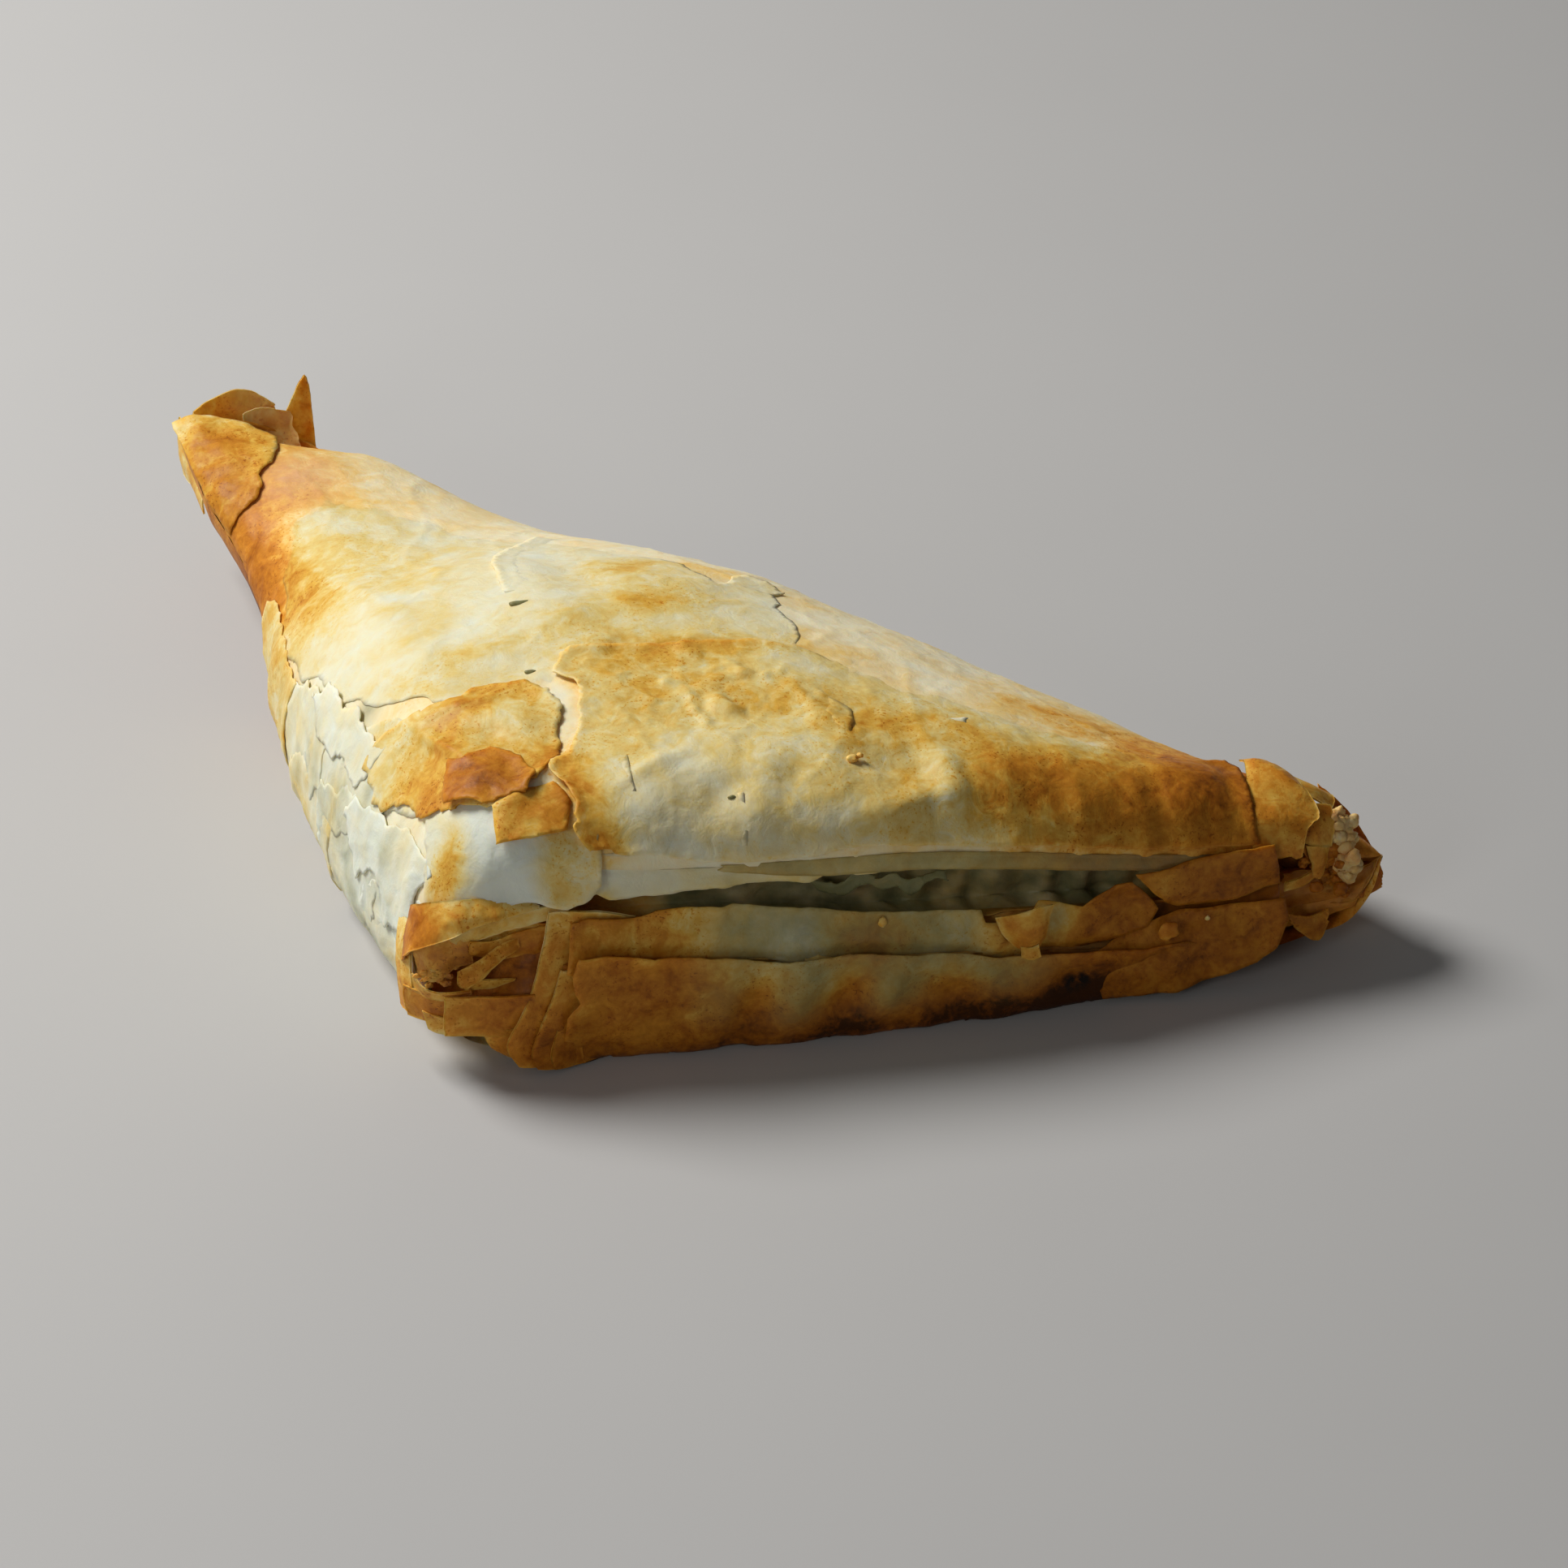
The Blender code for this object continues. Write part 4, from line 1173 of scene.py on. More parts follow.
class PIE_OT_front_sheets(bpy.types.Operator):
    """Build the large sheets of the front: upper sheet, hanging layer, lower lip and lowest fold"""

    bl_idname = "pie.front_sheets"
    bl_label = "Front sheets"

    def execute(self, context):
        top_sheet("upper_front_sheet", 1, (
            (24.5, 0.6, 1.0, 0.6), (21.6, 0.6, 1.4), (20.4, 1.8, 1.4), (20.8, 4.6, 1.2), (20.7, 7.4, 1.4),
            (20.0, 10.4, 2.0), (20.6, 12.2, 2.0), (23.8, 14.6, 1.2), (25.4, 17.8, 1.0), (26.4, 22.0, 1.4),
            (28.0, 25.6, 1.0), (28.4, 29.6, 1.4), (27.0, 33.2, 1.6), (29.0, 37.4, 1.2), (31.0, 38.9), (38.0, 38.6),
            (46.5, 38.2, 1.0, 0.5), (54.0, 38.4, 1.0, 0.4), (61.0, 36.8, 0.5, 0.4), (72.0, 30.0, -1.0),
            (88.0, 21.0, -1.0), (101.0, 14.8, -0.6), (109.0, 14.0, 0.2), (113.4, 13.8, 1.4, 0.3),
            (114.4, 11.4, 1.4, 0.3), (113.2, 7.6, 1.2, 0.3), (112.2, 3.4, 1.0, 0.3), (111.4, 1.0, 1.0, 0.3),
            (111.6, 0.3, 1.0, 0.3), (104.0, 0.3, 1.0, 0.4), (96.0, 0.25, 1.0, 0.4), (88.0, 0.3, 1.0, 0.35),
            (79.0, 0.3, 1.0, 0.3), (69.5, 0.3, 1.0, 0.3), (60.0, 0.4, 1.0, 0.3), (55.5, 0.35, 1.0, 0.3),
            (49.0, 0.12, 1.0, 0.3), (42.0, 0.08, 1.0, 0.3), (35.5, 0.1, 1.0, 0.3), (28.0, 0.5, 1.0, 0.4),
        ), spots=((21.5, 3.0, 2.6, 9.0, 0.0, 0.08), (24.0, 1.0, 2.4, 2.4, 0.0, 0.16)),
            lift=0.32, grain=0.5, ragged=0.75, curl=0.35, curl_reach=1.1)
        front_sheet("hanging_layer", 2, slit_wall, (
            (16.0, 31.5, 1.0), (17.6, 27.0, 2.0), (20.0, 24.4, 2.0), (22.4, 26.0, 2.0), (24.0, 25.0, 1.6), (28.0, 25.2),
            (33.9, 25.1), (39.9, 25.5), (46.4, 25.5), (53.9, 25.3), (58.4, 25.4), (65.0, 25.4), (72.1, 24.5),
            (79.2, 23.3), (88.0, 21.6), (99.2, 19.3), (104.0, 18.2), (112.0, 15.2), (118.0, 14.0),
            (118.0, 16.6, 0.0), (104.0, 20.5, 0.0), (86.0, 25.8, 0.0), (64.0, 29.4, 0.0), (40.0, 31.5, 0.0),
            (28.0, 32.0, 0.5),
        ), spots=(
            (20, 27, 14, 9, 0, -0.60), (22.5, 24.6, 2.4, 2.0, 0, 0.40), (34, 27, 6, 4, 0, -0.06),
            (70, 25, 8, 3, 0, 0.10),
        ), finish=moist_filo(), lift=0.45, grain=0.5, ragged=0.35, curl=0.3, toasted=0.02, extras={"leaf_green": 0.10})
        flap("second_layer_edge", (
            ((38, -4, 29), (50, -4.7, 28.6), (64, -4.9, 27.8), (78, -4.7, 25.6), (94, -3.9, 22.2), (112, -2.5, 18.6)),
            ((38, -4.1, 28.6), (50, -4.9, 27.3), (64, -5.2, 26.2), (78, -5, 24.1), (94, -4.3, 21.0), (112, -2.7, 17.9)),
            ((38, -4.1, 28.2), (50, -5, 26.2), (64, -5.2, 25.2), (78, -5.1, 23.1), (94, -4.4, 20.0), (112, -2.8, 17.3)),
        ), seed=8, finish=moist_filo(), baking=lambda p: 0.34 + 0.34 * ramp(p[..., 0], 66.0, 96.0),
            ragged=0.04, thick=0.2, toasted=0.05, extras={"leaf_green": 0.55})
        front_sheet("slit_web", 3, inner_wall, (
            (51.0, 23.6, 0.0), (54.5, 22.6), (57.0, 23.4), (59.5, 22.0), (62.5, 23.0), (65.0, 21.6), (68.5, 22.2, 0.4),
            (69.4, 20.6, 0.4), (66.6, 20.8), (64.4, 19.6), (62.6, 21.4), (60.4, 20.6), (57.6, 21.6), (54.6, 20.8),
            (52.0, 21.6, 0.2),
        ), baked=0.15, finish=moist_filo(),
            lift=0.5, grain=0.35, ragged=0.8, curl=0.3, ripple=0.3, toasted=-0.10, extras={"leaf_green": 0.95})
        front_sheet("lower_lip_sheet", 4, lip_wall, (
            (18.9, 21.6, 3.6, 0.4), (21.0, 22.2, 2.4), (27.0, 21.8), (30.0, 22.8), (34.0, 23.0), (40.0, 22.8),
            (50.5, 20.9), (61.0, 18.8), (70.0, 17.8), (73.2, 17.4), (73.6, 15.6), (75.6, 15.4), (76.2, 13.0),
            (79.0, 12.6), (80.5, 10.0, 0.3), (77.0, 8.0, -0.5), (60.0, 10.5, -0.5), (40.0, 12.5, -0.5),
            (22.0, 13.0, 0.2), (17.9, 14.6, 3.4, 0.4), (18.3, 18.0, 3.6, 0.4),
        ), spots=(
            # The paler spot 48 mm along the lip is a painted highlight.
            (22, 20, 4, 3, 0, 0.06), (38, 21, 6, 3, 0, -0.08), (48, 19, 4, 3, 0, -0.10), (58, 16, 6, 3, 0, 0.14),
            (75, 14, 3, 3, 0, 0.16),
        ), lift=0.35, ragged=0.2, curl=0.15, extras={"leaf_green": greening(31, 42, 68, 80, 0.55)})
        front_sheet("lowest_sheet", 5, low_wall, (
            (17.8, 0.8, 2.6, 0.5), (17.2, 4.6, 2.8, 0.5), (17.6, 8.6, 2.8, 0.5), (19.4, 10.6, 2.4), (18.8, 12.0, 2.4),
            (18.6, 15.0, 2.2, 0.5), (19.4, 17.4, 1.8), (22.6, 17.8, 1.2), (34.0, 16.6), (46.0, 14.4), (55.0, 14.4),
            (67.0, 13.0), (77.0, 10.9), (88.0, 9.4), (100.0, 7.8), (108.0, 6.2, 0.0), (108.0, 1.6, 0.0),
            (100.0, 0.1), (80.0, 0.1), (60.0, 0.1), (40.0, 0.1), (24.5, 0.1),
        ), baked=0.04,
            spots=(
            # The long spot along the foot, 64 mm along, and the three spots on the next line over the front hollows are
            # painted shade.
            (25, 3.6, 7, 3.2, 0, -0.06), (26, 13, 7, 3, 0, 0.04), (64, 0, 44, 6.0, 0, 0.52), 
            (42.5, 6, 4.6, 6, -20, 0.30), (54.5, 5, 5.0, 5, -24, 0.28), (69, 4, 7.0, 4, -10, 0.26),
        ), lift=0.40, ragged=0.28, curl=0.2,
            extras={
                # The green is taken out of the front hollows and near the foot, where the painted shade stands.
                "leaf_green": lambda p: greening(28, 44, 74, 92, 0.60)(p)
                * ramp(p[..., 2], 1.0, 8.0)
                * (1 - front_hollows(p[..., 0], p[..., 2])),
                # A near-black spot in the fourth hollow of the lowest sheet.
                "char": lambda p: spot(p[..., 0], p[..., 2], (86.5, 4.4), (2.2, 1.3), 35) * 1.5,
            })
        front_sheet("lip_right_sheet", 6, lip_wall, (
            (79.5, 14.0, 1.2), (81.0, 17.4, 1.4), (84.0, 17.0), (87.0, 15.6), (88.6, 16.6), (91.5, 18.4),
            (94.0, 18.2), (96.3, 15.4), (97.6, 13.0), (96.0, 10.8), (90.0, 9.5, 0.0), (84.0, 9.0, -0.4),
            (80.5, 10.5, -0.2),
        ), baked=0.02,
            spots=((84, 15, 2.5, 3, 0, -0.22), (92, 16.5, 3, 2, 0, 0.10)),
            lift=0.45, ragged=0.25, curl=0.35, extras={"leaf_green": greening(80, 82, 84, 88, 0.12)})
        flap("lip_notch_curl", (
            ((74.8, -6.6, 16.8), (77.2, -8.3, 18.2), (80.2, -8.8, 19.2), (82.4, -7.6, 18.6)),
            ((75.4, -7.6, 15.0), (77.6, -9.3, 15.6), (80.2, -9.3, 15.9), (81.6, -8.2, 15.4)),
            ((77.2, -7.6, 12.6), (78.4, -8.6, 12.4), (79.8, -8.5, 12.2), (80.8, -7.9, 12.4)),
        ), seed=41, baking=0.62, ragged=0.05)
        flap("notch_tab", (
            ((77.8, -8.7, 13.2), (79.0, -9.0, 13.1), (80.2, -8.8, 13.3)),
            ((77.9, -8.9, 11.4), (79.2, -9.2, 11.0), (80.6, -9.0, 11.2)),
        ), seed=42, baking=0.52, ragged=0.10)
        return {"FINISHED"}


class PIE_OT_left_corner(bpy.types.Operator):
    """Build the pleats, hood and rolled layers of the front left corner"""

    bl_idname = "pie.left_corner"
    bl_label = "Left corner"

    def execute(self, context):
        flap("corner_hood", (
            ((-0.8, 7.0, 20.4), (-0.2, 1.6, 24.8), (3.9, -1.2, 26.7), (8.1, -1.8, 26.6), (14.8, -2.5, 25.3)),
            ((-1.9, 5.0, 17.5), (-1.4, 0.4, 21.2), (3.0, -3.0, 24.6), (7.6, -3.3, 25.2), (14.9, -2.9, 25.15)),
            ((-2.6, 4.2, 13.5), (-2.3, -1.0, 18.9), (2.8, -3.9, 22.5), (7.0, -3.8, 24.0), (14.8, -3.2, 25.0)),
        ), seed=51,
            baking=lambda p: 0.52 + 0.20 * ramp(-p[..., 0], -3.0, 2.0) - 0.06 * ramp(p[..., 0], 7.0, 13.0),
            ragged=0.03, ripple=0.3)
        flap("corner_veil", (
            ((2.5, -1.4, 21.6), (7.0, -2.4, 23.4), (12.0, -2.6, 24.8), (18.6, -2.8, 25.0)),
            ((3.5, -1.8, 20.2), (8.0, -2.3, 21.8), (12.0, -2.5, 23.4), (18.0, -3.0, 24.0)),
            ((5.0, -1.6, 19.4), (9.0, -1.9, 20.8), (12.6, -2.4, 22.0), (17.0, -3.2, 23.2)),
        ), seed=52,
            finish=moist_filo(), baking=0.46, ragged=0.05, ripple=0.35, extras={"leaf_green": 0.16})
        flap("corner_veil_inner", (
            ((4.0, -1.0, 21.0), (8.0, -1.2, 22.4), (12.0, -1.5, 23.0), (16.6, -1.8, 23.0)),
            ((5.0, -0.9, 18.0), (9.0, -1.0, 18.8), (12.5, -1.2, 19.8), (16.2, -1.5, 20.0)),
        ), seed=53, baking=0.50, ragged=0.08, ripple=0.4)
        flap("pocket_fold", (
            ((5.6, -2.2, 20.4), (8.6, -1.8, 19.8), (12.0, -1.5, 20.6), (16.2, -2.0, 21.4)),
            ((5.4, -2.0, 18.4), (8.4, -2.3, 18.6), (12.2, -1.8, 18.6), (15.8, -2.2, 19.0)),
            ((7.4, -1.6, 17.2), (9.4, -1.6, 16.8), (12.4, -1.4, 16.6), (15.2, -1.8, 16.6)),
        ), seed=43,
            baking=lambda p: 0.58 + 0.12 * ramp(p[..., 0], 9.0, 14.0), ragged=0.06, ripple=0.45)
        flap("pocket_swirl", (
            ((-1.6, 1.4, 19.0), (0.6, -1.2, 20.4), (4.0, -1.6, 21.2), (6.4, -1.4, 20.8)),
            ((-1.5, 0.6, 16.6), (0.8, -2.0, 17.6), (3.8, -2.0, 18.6), (6.2, -1.8, 18.4)),
            ((-1.0, -0.2, 14.4), (1.0, -2.2, 14.8), (3.6, -1.8, 16.0), (6.0, -1.4, 16.4)),
        ), seed=44, baking=0.62, ragged=0.05, ripple=0.45, extras={"rosy": 0.25})
        flap("pocket_back", (
            ((8.0, -0.6, 17.6), (12.0, -1.0, 17.6), (17.0, -2.2, 17.8)),
            ((6.0, -1.6, 14.2), (11.0, -2.2, 14.2), (15.4, -3.4, 14.0)),
            ((6.0, -3.4, 11.6), (10.0, -3.8, 11.4), (13.6, -4.6, 11.2)),
        ), seed=45, baking=0.80, ragged=0.03, ripple=0.4)
        flap("corner_side_leaf", (
            ((-1.7, 9.0, 18.6), (-1.2, 5.8, 19.8), (0.4, 3.2, 21.0)),
            ((-2.7, 6.4, 16.8), (-2.4, 3.8, 17.2), (-1.5, 1.6, 17.6)),
            ((-3.2, 4.8, 12.0), (-2.8, 2.4, 12.2), (-1.8, 0.2, 12.6)),
            ((-2.9, 4.0, 7.0), (-2.4, 1.8, 7.4), (-1.4, -0.2, 8.2)),
        ), seed=54,
            baking=lambda p: 0.42 + 0.16 * ramp(-p[..., 2], -18, -10), ragged=0.05)
        flap("pocket_roll", (
            ((3.6, -3.6, 16.9), (6.6, -3.1, 18.0), (9.6, -2.2, 19.4), (12.2, -1.6, 19.8)),
            ((3.4, -4.4, 15.4), (6.6, -4.0, 16.7), (9.6, -2.9, 18.4), (12.2, -1.9, 19.2)),
            ((4.6, -3.9, 13.9), (7.2, -3.4, 15.4), (9.8, -2.6, 17.3), (12.2, -1.7, 18.4)),
        ), seed=55,
            baking=lambda p: 0.56 + 0.12 * ramp(p[..., 0], 8.0, 12.0), ragged=0.05, ripple=0.25)
        dice = np.random.default_rng(56)
        size = dice.uniform(0.2, 0.5, (26, 1))
        places = np.array([0.6, -2.0, 15.6]) + dice.normal(0, 1, (26, 3)) * [1.3, 0.4, 0.9]
        lumps("pocket_crumbs", np.hstack([places, size * [1.4, 0.7, 1.0]]), baking=0.58, rough=0.7, seed=57, rosy=0.3)
        flap("pocket_blade", (
            ((4.8, -3.5, 15.3), (8.0, -3.4, 14.8), (11.4, -2.8, 14.0)),
            ((4.6, -3.2, 13.5), (8.0, -3.2, 13.3), (11.2, -2.8, 13.7)),
        ), seed=58, baking=0.60, thick=0.22)
        flap("pocket_rim", (
            ((-1.8, 0.2, 14.8), (-0.6, -2.4, 14.0), (2.2, -4.4, 14.2), (5.4, -3.9, 13.9)),
            ((-1.6, 0.4, 12.6), (-0.4, -2.0, 12.2), (2.2, -3.8, 12.6), (5.4, -3.4, 12.9)),
        ), seed=59, baking=0.58)
        flap("corner_brown_leaf", (
            ((-3.0, 1.5, 12.2), (0.0, -2.4, 12.8), (2.2, -3.8, 12.8)),
            ((-2.9, 1.4, 9.8), (0.0, -2.3, 10.2), (2.2, -3.6, 10.9)),
            ((-2.5, 1.2, 7.4), (0.2, -1.8, 8.0), (2.2, -3.1, 9.0)),
        ), seed=60, baking=0.64)
        flap("corner_low_leaf", (
            ((-1.0, -1.6, 9.8), (1.4, -3.4, 9.6), (4.5, -3.9, 9.2)),
            ((-0.2, -1.8, 6.9), (1.4, -3.1, 6.7), (4.5, -3.5, 6.4)),
        ), seed=61, baking=0.52)
        flap("corner_square_leaf", (
            ((1.6, -4.5, 13.7), (5.0, -4.7, 13.4), (9.0, -5.0, 13.0), (13.5, -5.2, 12.9)),
            ((1.4, -4.5, 10.6), (5.0, -4.7, 10.2), (9.0, -4.9, 9.8), (13.0, -5.1, 9.6)),
            ((1.3, -4.4, 7.4), (5.0, -4.5, 6.9), (9.0, -4.7, 6.3), (12.0, -4.9, 6.0)),
        ), seed=62,
            baking=lambda p: 0.60 + 0.16 * ramp(p[..., 0], 4, 12), ragged=0.03)
        flap("corner_foot_lobe", (
            ((6.4, -4.0, 7.4), (9.5, -4.8, 7.6), (14.0, -5.4, 7.8)),
            ((7.2, -3.4, 4.6), (10.0, -4.2, 3.4), (14.0, -4.9, 3.2)),
            ((8.6, -2.6, 2.4), (10.8, -3.1, 1.2), (14.2, -3.8, 0.8)),
        ), seed=63, baking=0.66)
        flap("first_pleat", (
            ((15.8, -3.5, 24.6), (18.4, -3.3, 24.2), (23.0, -3.0, 23.2), (27.5, -2.8, 21.6)),
            ((14.9, -4.1, 20.0), (17.4, -3.6, 19.9), (22.0, -2.6, 19.8), (27.0, -2.4, 19.8)),
            ((13.1, -5.0, 13.4), (15.5, -4.8, 13.5), (19.5, -3.4, 13.6), (25.0, -2.8, 13.6)),
            ((11.3, -5.5, 9.4), (13.8, -5.4, 9.3), (17.5, -4.4, 9.2), (22.0, -3.6, 9.2)),
            ((9.4, -5.8, 5.4), (12.2, -5.8, 5.2), (16.5, -4.8, 5.0), (21.0, -4.0, 5.0)),
            ((11.0, -5.4, 1.4), (13.0, -5.5, 1.1), (16.5, -4.8, 0.8), (20.0, -4.2, 0.8)),
        ), seed=64,
            baking=lambda p: 0.54 + 0.18 * ramp(-p[..., 2], -18, -6), ragged=0.012, thick=0.3, toasted=-0.20)
        flap("second_pleat", (
            ((17.0, -4.4, 15.6), (18.6, -4.4, 15.4), (22.0, -3.6, 15.2)),
            ((15.6, -5.4, 11.6), (17.6, -5.3, 11.4), (21.0, -4.4, 11.2)),
            ((13.7, -6.0, 7.4), (16.0, -5.9, 7.2), (20.0, -4.8, 7.0)),
            ((12.6, -6.2, 3.8), (15.2, -6.1, 3.4), (19.5, -5.0, 3.0)),
            ((13.4, -5.9, 1.0), (16.0, -5.9, 0.7), (20.0, -5.0, 0.5)),
        ), seed=65,
            baking=lambda p: 0.60 + 0.20 * ramp(-p[..., 2], -14, -5), ragged=0.012, thick=0.3, toasted=-0.20)
        flap("third_pleat", (
            ((17.8, -5.0, 10.8), (19.4, -4.6, 10.6), (22.5, -3.6, 10.4)),
            ((16.0, -6.0, 6.8), (18.2, -5.4, 6.6), (22.0, -4.0, 6.4)),
            ((15.1, -6.3, 3.4), (17.4, -5.7, 3.0), (21.5, -4.2, 2.8)),
            ((15.6, -6.1, 0.8), (17.8, -5.6, 0.6), (21.5, -4.4, 0.5)),
        ), seed=66,
            baking=lambda p: 0.64 + 0.18 * ramp(-p[..., 2], -9, -2), ragged=0.012, thick=0.3, toasted=-0.18)
        return {"FINISHED"}


class PIE_OT_right_corner(bpy.types.Operator):
    """Build the stepped cuffs and the crumbly core of the right corner"""

    bl_idname = "pie.right_corner"
    bl_label = "Right corner"

    def execute(self, context):
        flap("back_cuff", (
            ((114.4, 12.6, 21.6), (117.6, 11.6, 21.4), (121.4, 10.0, 20.0), (124.6, 8.6, 18.6)),
            ((113.6, 9.4, 24.2), (117.6, 8.0, 23.8), (122.0, 6.6, 21.8), (125.0, 6.2, 19.8)),
            ((113.5, 4.5, 24.2), (118.6, 3.8, 23.2), (121.8, 3.8, 21.4), (123.6, 3.4, 19.4)),
        ), seed=72, baking=0.55, ragged=0.06)
        flap("right_cuff", (
            ((113.6, 13.6, 22.6), (115.4, 12.0, 23.6), (117.8, 9.4, 23.9), (119.6, 6.8, 23.2)),
            ((113.0, 9.0, 25.0), (114.6, 8.2, 25.6), (117.2, 5.4, 25.4), (120.0, 3.0, 23.8)),
            ((111.6, 3.4, 25.0), (113.4, 2.8, 25.0), (117.2, 0.9, 24.0), (120.8, -0.4, 22.2)),
            ((111.0, -1.0, 23.2), (113.2, -1.4, 23.0), (116.4, -2.1, 22.0), (118.5, -2.4, 21.0)),
            ((110.8, -3.1, 18.6), (113.0, -3.3, 18.2), (115.8, -3.3, 17.8), (117.9, -3.1, 17.0)),
        ), seed=71,
            baking=lambda p: 0.58 + 0.08 * ramp(-p[..., 2], -22.0, -18.0), ragged=0.06, ripple=0.2)
        front_sheet("upper_cuff", 73, cuff_wall, (
            (94.2, 19.4), (104.0, 19.0), (110.0, 18.6), (113.6, 18.3, 1.4), (114.2, 15.0, 1.4), (114.8, 11.2),
            (108.0, 11.2), (104.0, 11.8), (100.4, 12.4), (98.6, 13.6), (96.6, 16.0), (95.0, 18.4),
        ), baked=0.04,
            spots=((98, 16, 3, 3, 0, -0.14), (108, 15, 5, 3, 0, 0.10)),
            lift=0.9, ragged=0.16, curl=0.2)
        front_sheet("lower_cuff", 74, cuff_wall, (
            (88.0, 8.0, -0.4), (93.0, 10.4, 0.2), (98.0, 11.6), (100.5, 11.8), (108.0, 10.4), (114.8, 9.0, 1.4),
            (115.4, 6.0, 1.4), (113.8, 3.2), (111.0, 2.0), (100.0, 0.8), (90.0, 1.0, -0.2),
        ), baked=0.04,
            spots=((104, 6, 5, 3, 0, 0.10),),
            lift=1.0, ragged=0.18, curl=0.2)
        lumps("sugar_bubble",
            ((98.6, -6.9, 11.0, 1.4, 0.45, 1.7),), baking=0.68, rough=0.3, seed=75)
        flap("core_shell", (
            ((123.2, 8.5, 21.0), (126.8, 6.2, 17.8), (129.6, 3.6, 13.4), (131.2, 2.0, 9.4)),
            ((123.6, 4.6, 15.0), (126.6, 3.6, 12.8), (129.2, 2.4, 10.4), (131.0, 1.6, 8.4)),
            ((120.2, 0.6, 7.6), (124.6, -0.2, 6.8), (128.2, 0.4, 7.0), (130.9, 1.4, 7.6)),
        ), seed=76, baking=0.72, extras={"rosy": 0.25}, thick=0.5)
        flap("orange_flap", (
            ((118.4, 1.5, 23.0), (120.4, 1.4, 23.1), (122.9, 1.6, 22.2)),
            ((118.0, -0.8, 21.2), (120.2, -1.0, 20.8), (123.2, 0.0, 19.8)),
            ((118.4, -1.8, 18.8), (120.6, -1.8, 18.0), (122.6, -0.8, 17.0)),
        ), seed=77, baking=0.58, ragged=0.08)
        flap("hanging_crumb_leaf", (
            ((118.6, -1.9, 18.6), (120.6, -1.6, 18.2), (122.4, -0.6, 17.4)),
            ((119.4, -2.0, 15.6), (121.0, -1.8, 15.4), (122.0, -1.0, 15.2)),
            ((120.0, -1.6, 12.9), (120.8, -1.6, 12.5), (121.4, -1.2, 13.0)),
        ), seed=78, baking=0.64, ragged=0.16)
        flap("corner_blade", (
            ((116.2, -1.6, 12.6), (118.6, -1.2, 12.9), (120.9, -0.4, 13.4)),
            ((116.0, -1.4, 11.0), (118.6, -1.2, 11.4), (120.9, -0.6, 12.2)),
        ), seed=79, baking=0.62, ragged=0.10)
        flap("corner_lower_flake", (
            ((115.8, -3.0, 8.6), (118.4, -2.4, 7.4), (120.6, -1.6, 6.6), (122.8, -0.8, 6.9)),
            ((116.4, -3.0, 7.4), (118.8, -2.8, 5.6), (120.8, -2.2, 4.6), (123.0, -1.0, 5.2)),
            ((117.6, -2.6, 5.8), (119.2, -2.8, 4.0), (121.2, -2.4, 2.6), (122.4, -1.4, 4.2)),
        ), seed=80, baking=0.72, ragged=0.20)
        dice = np.random.default_rng(81)
        for name, start, end, spread, count, sizes, baking, rosy in (
            ("core_crumbs", (123.2, 1.2, 19.6), (125.6, -1.0, 12.4), 0.8, 110, (0.45, 1.2), 0.44, 0.68),
            ("core_crust", (120.6, 1.2, 18.2), (124.4, -0.4, 9.6), 1.2, 70, (0.4, 1.1), 0.78, 0.0),
            ("core_fringe", (124.6, 5.2, 19.2), (129.8, 1.6, 10.0), 0.35, 110, (0.25, 0.6), 0.66, 0.20),
        ):
            share = dice.uniform(0, 1, (count, 1))
            places = np.array(start) * (1 - share) + np.array(end) * share
            places = places + dice.normal(0, spread, (count, 3)) * [1.1, 0.6, 0.8]
            size = dice.uniform(*sizes, (count, 1))
            lumps(name, np.hstack([places, size * [1.1, 0.7, 1.0]]), baking=baking, rough=0.4, seed=82, rosy=rosy)
        return {"FINISHED"}


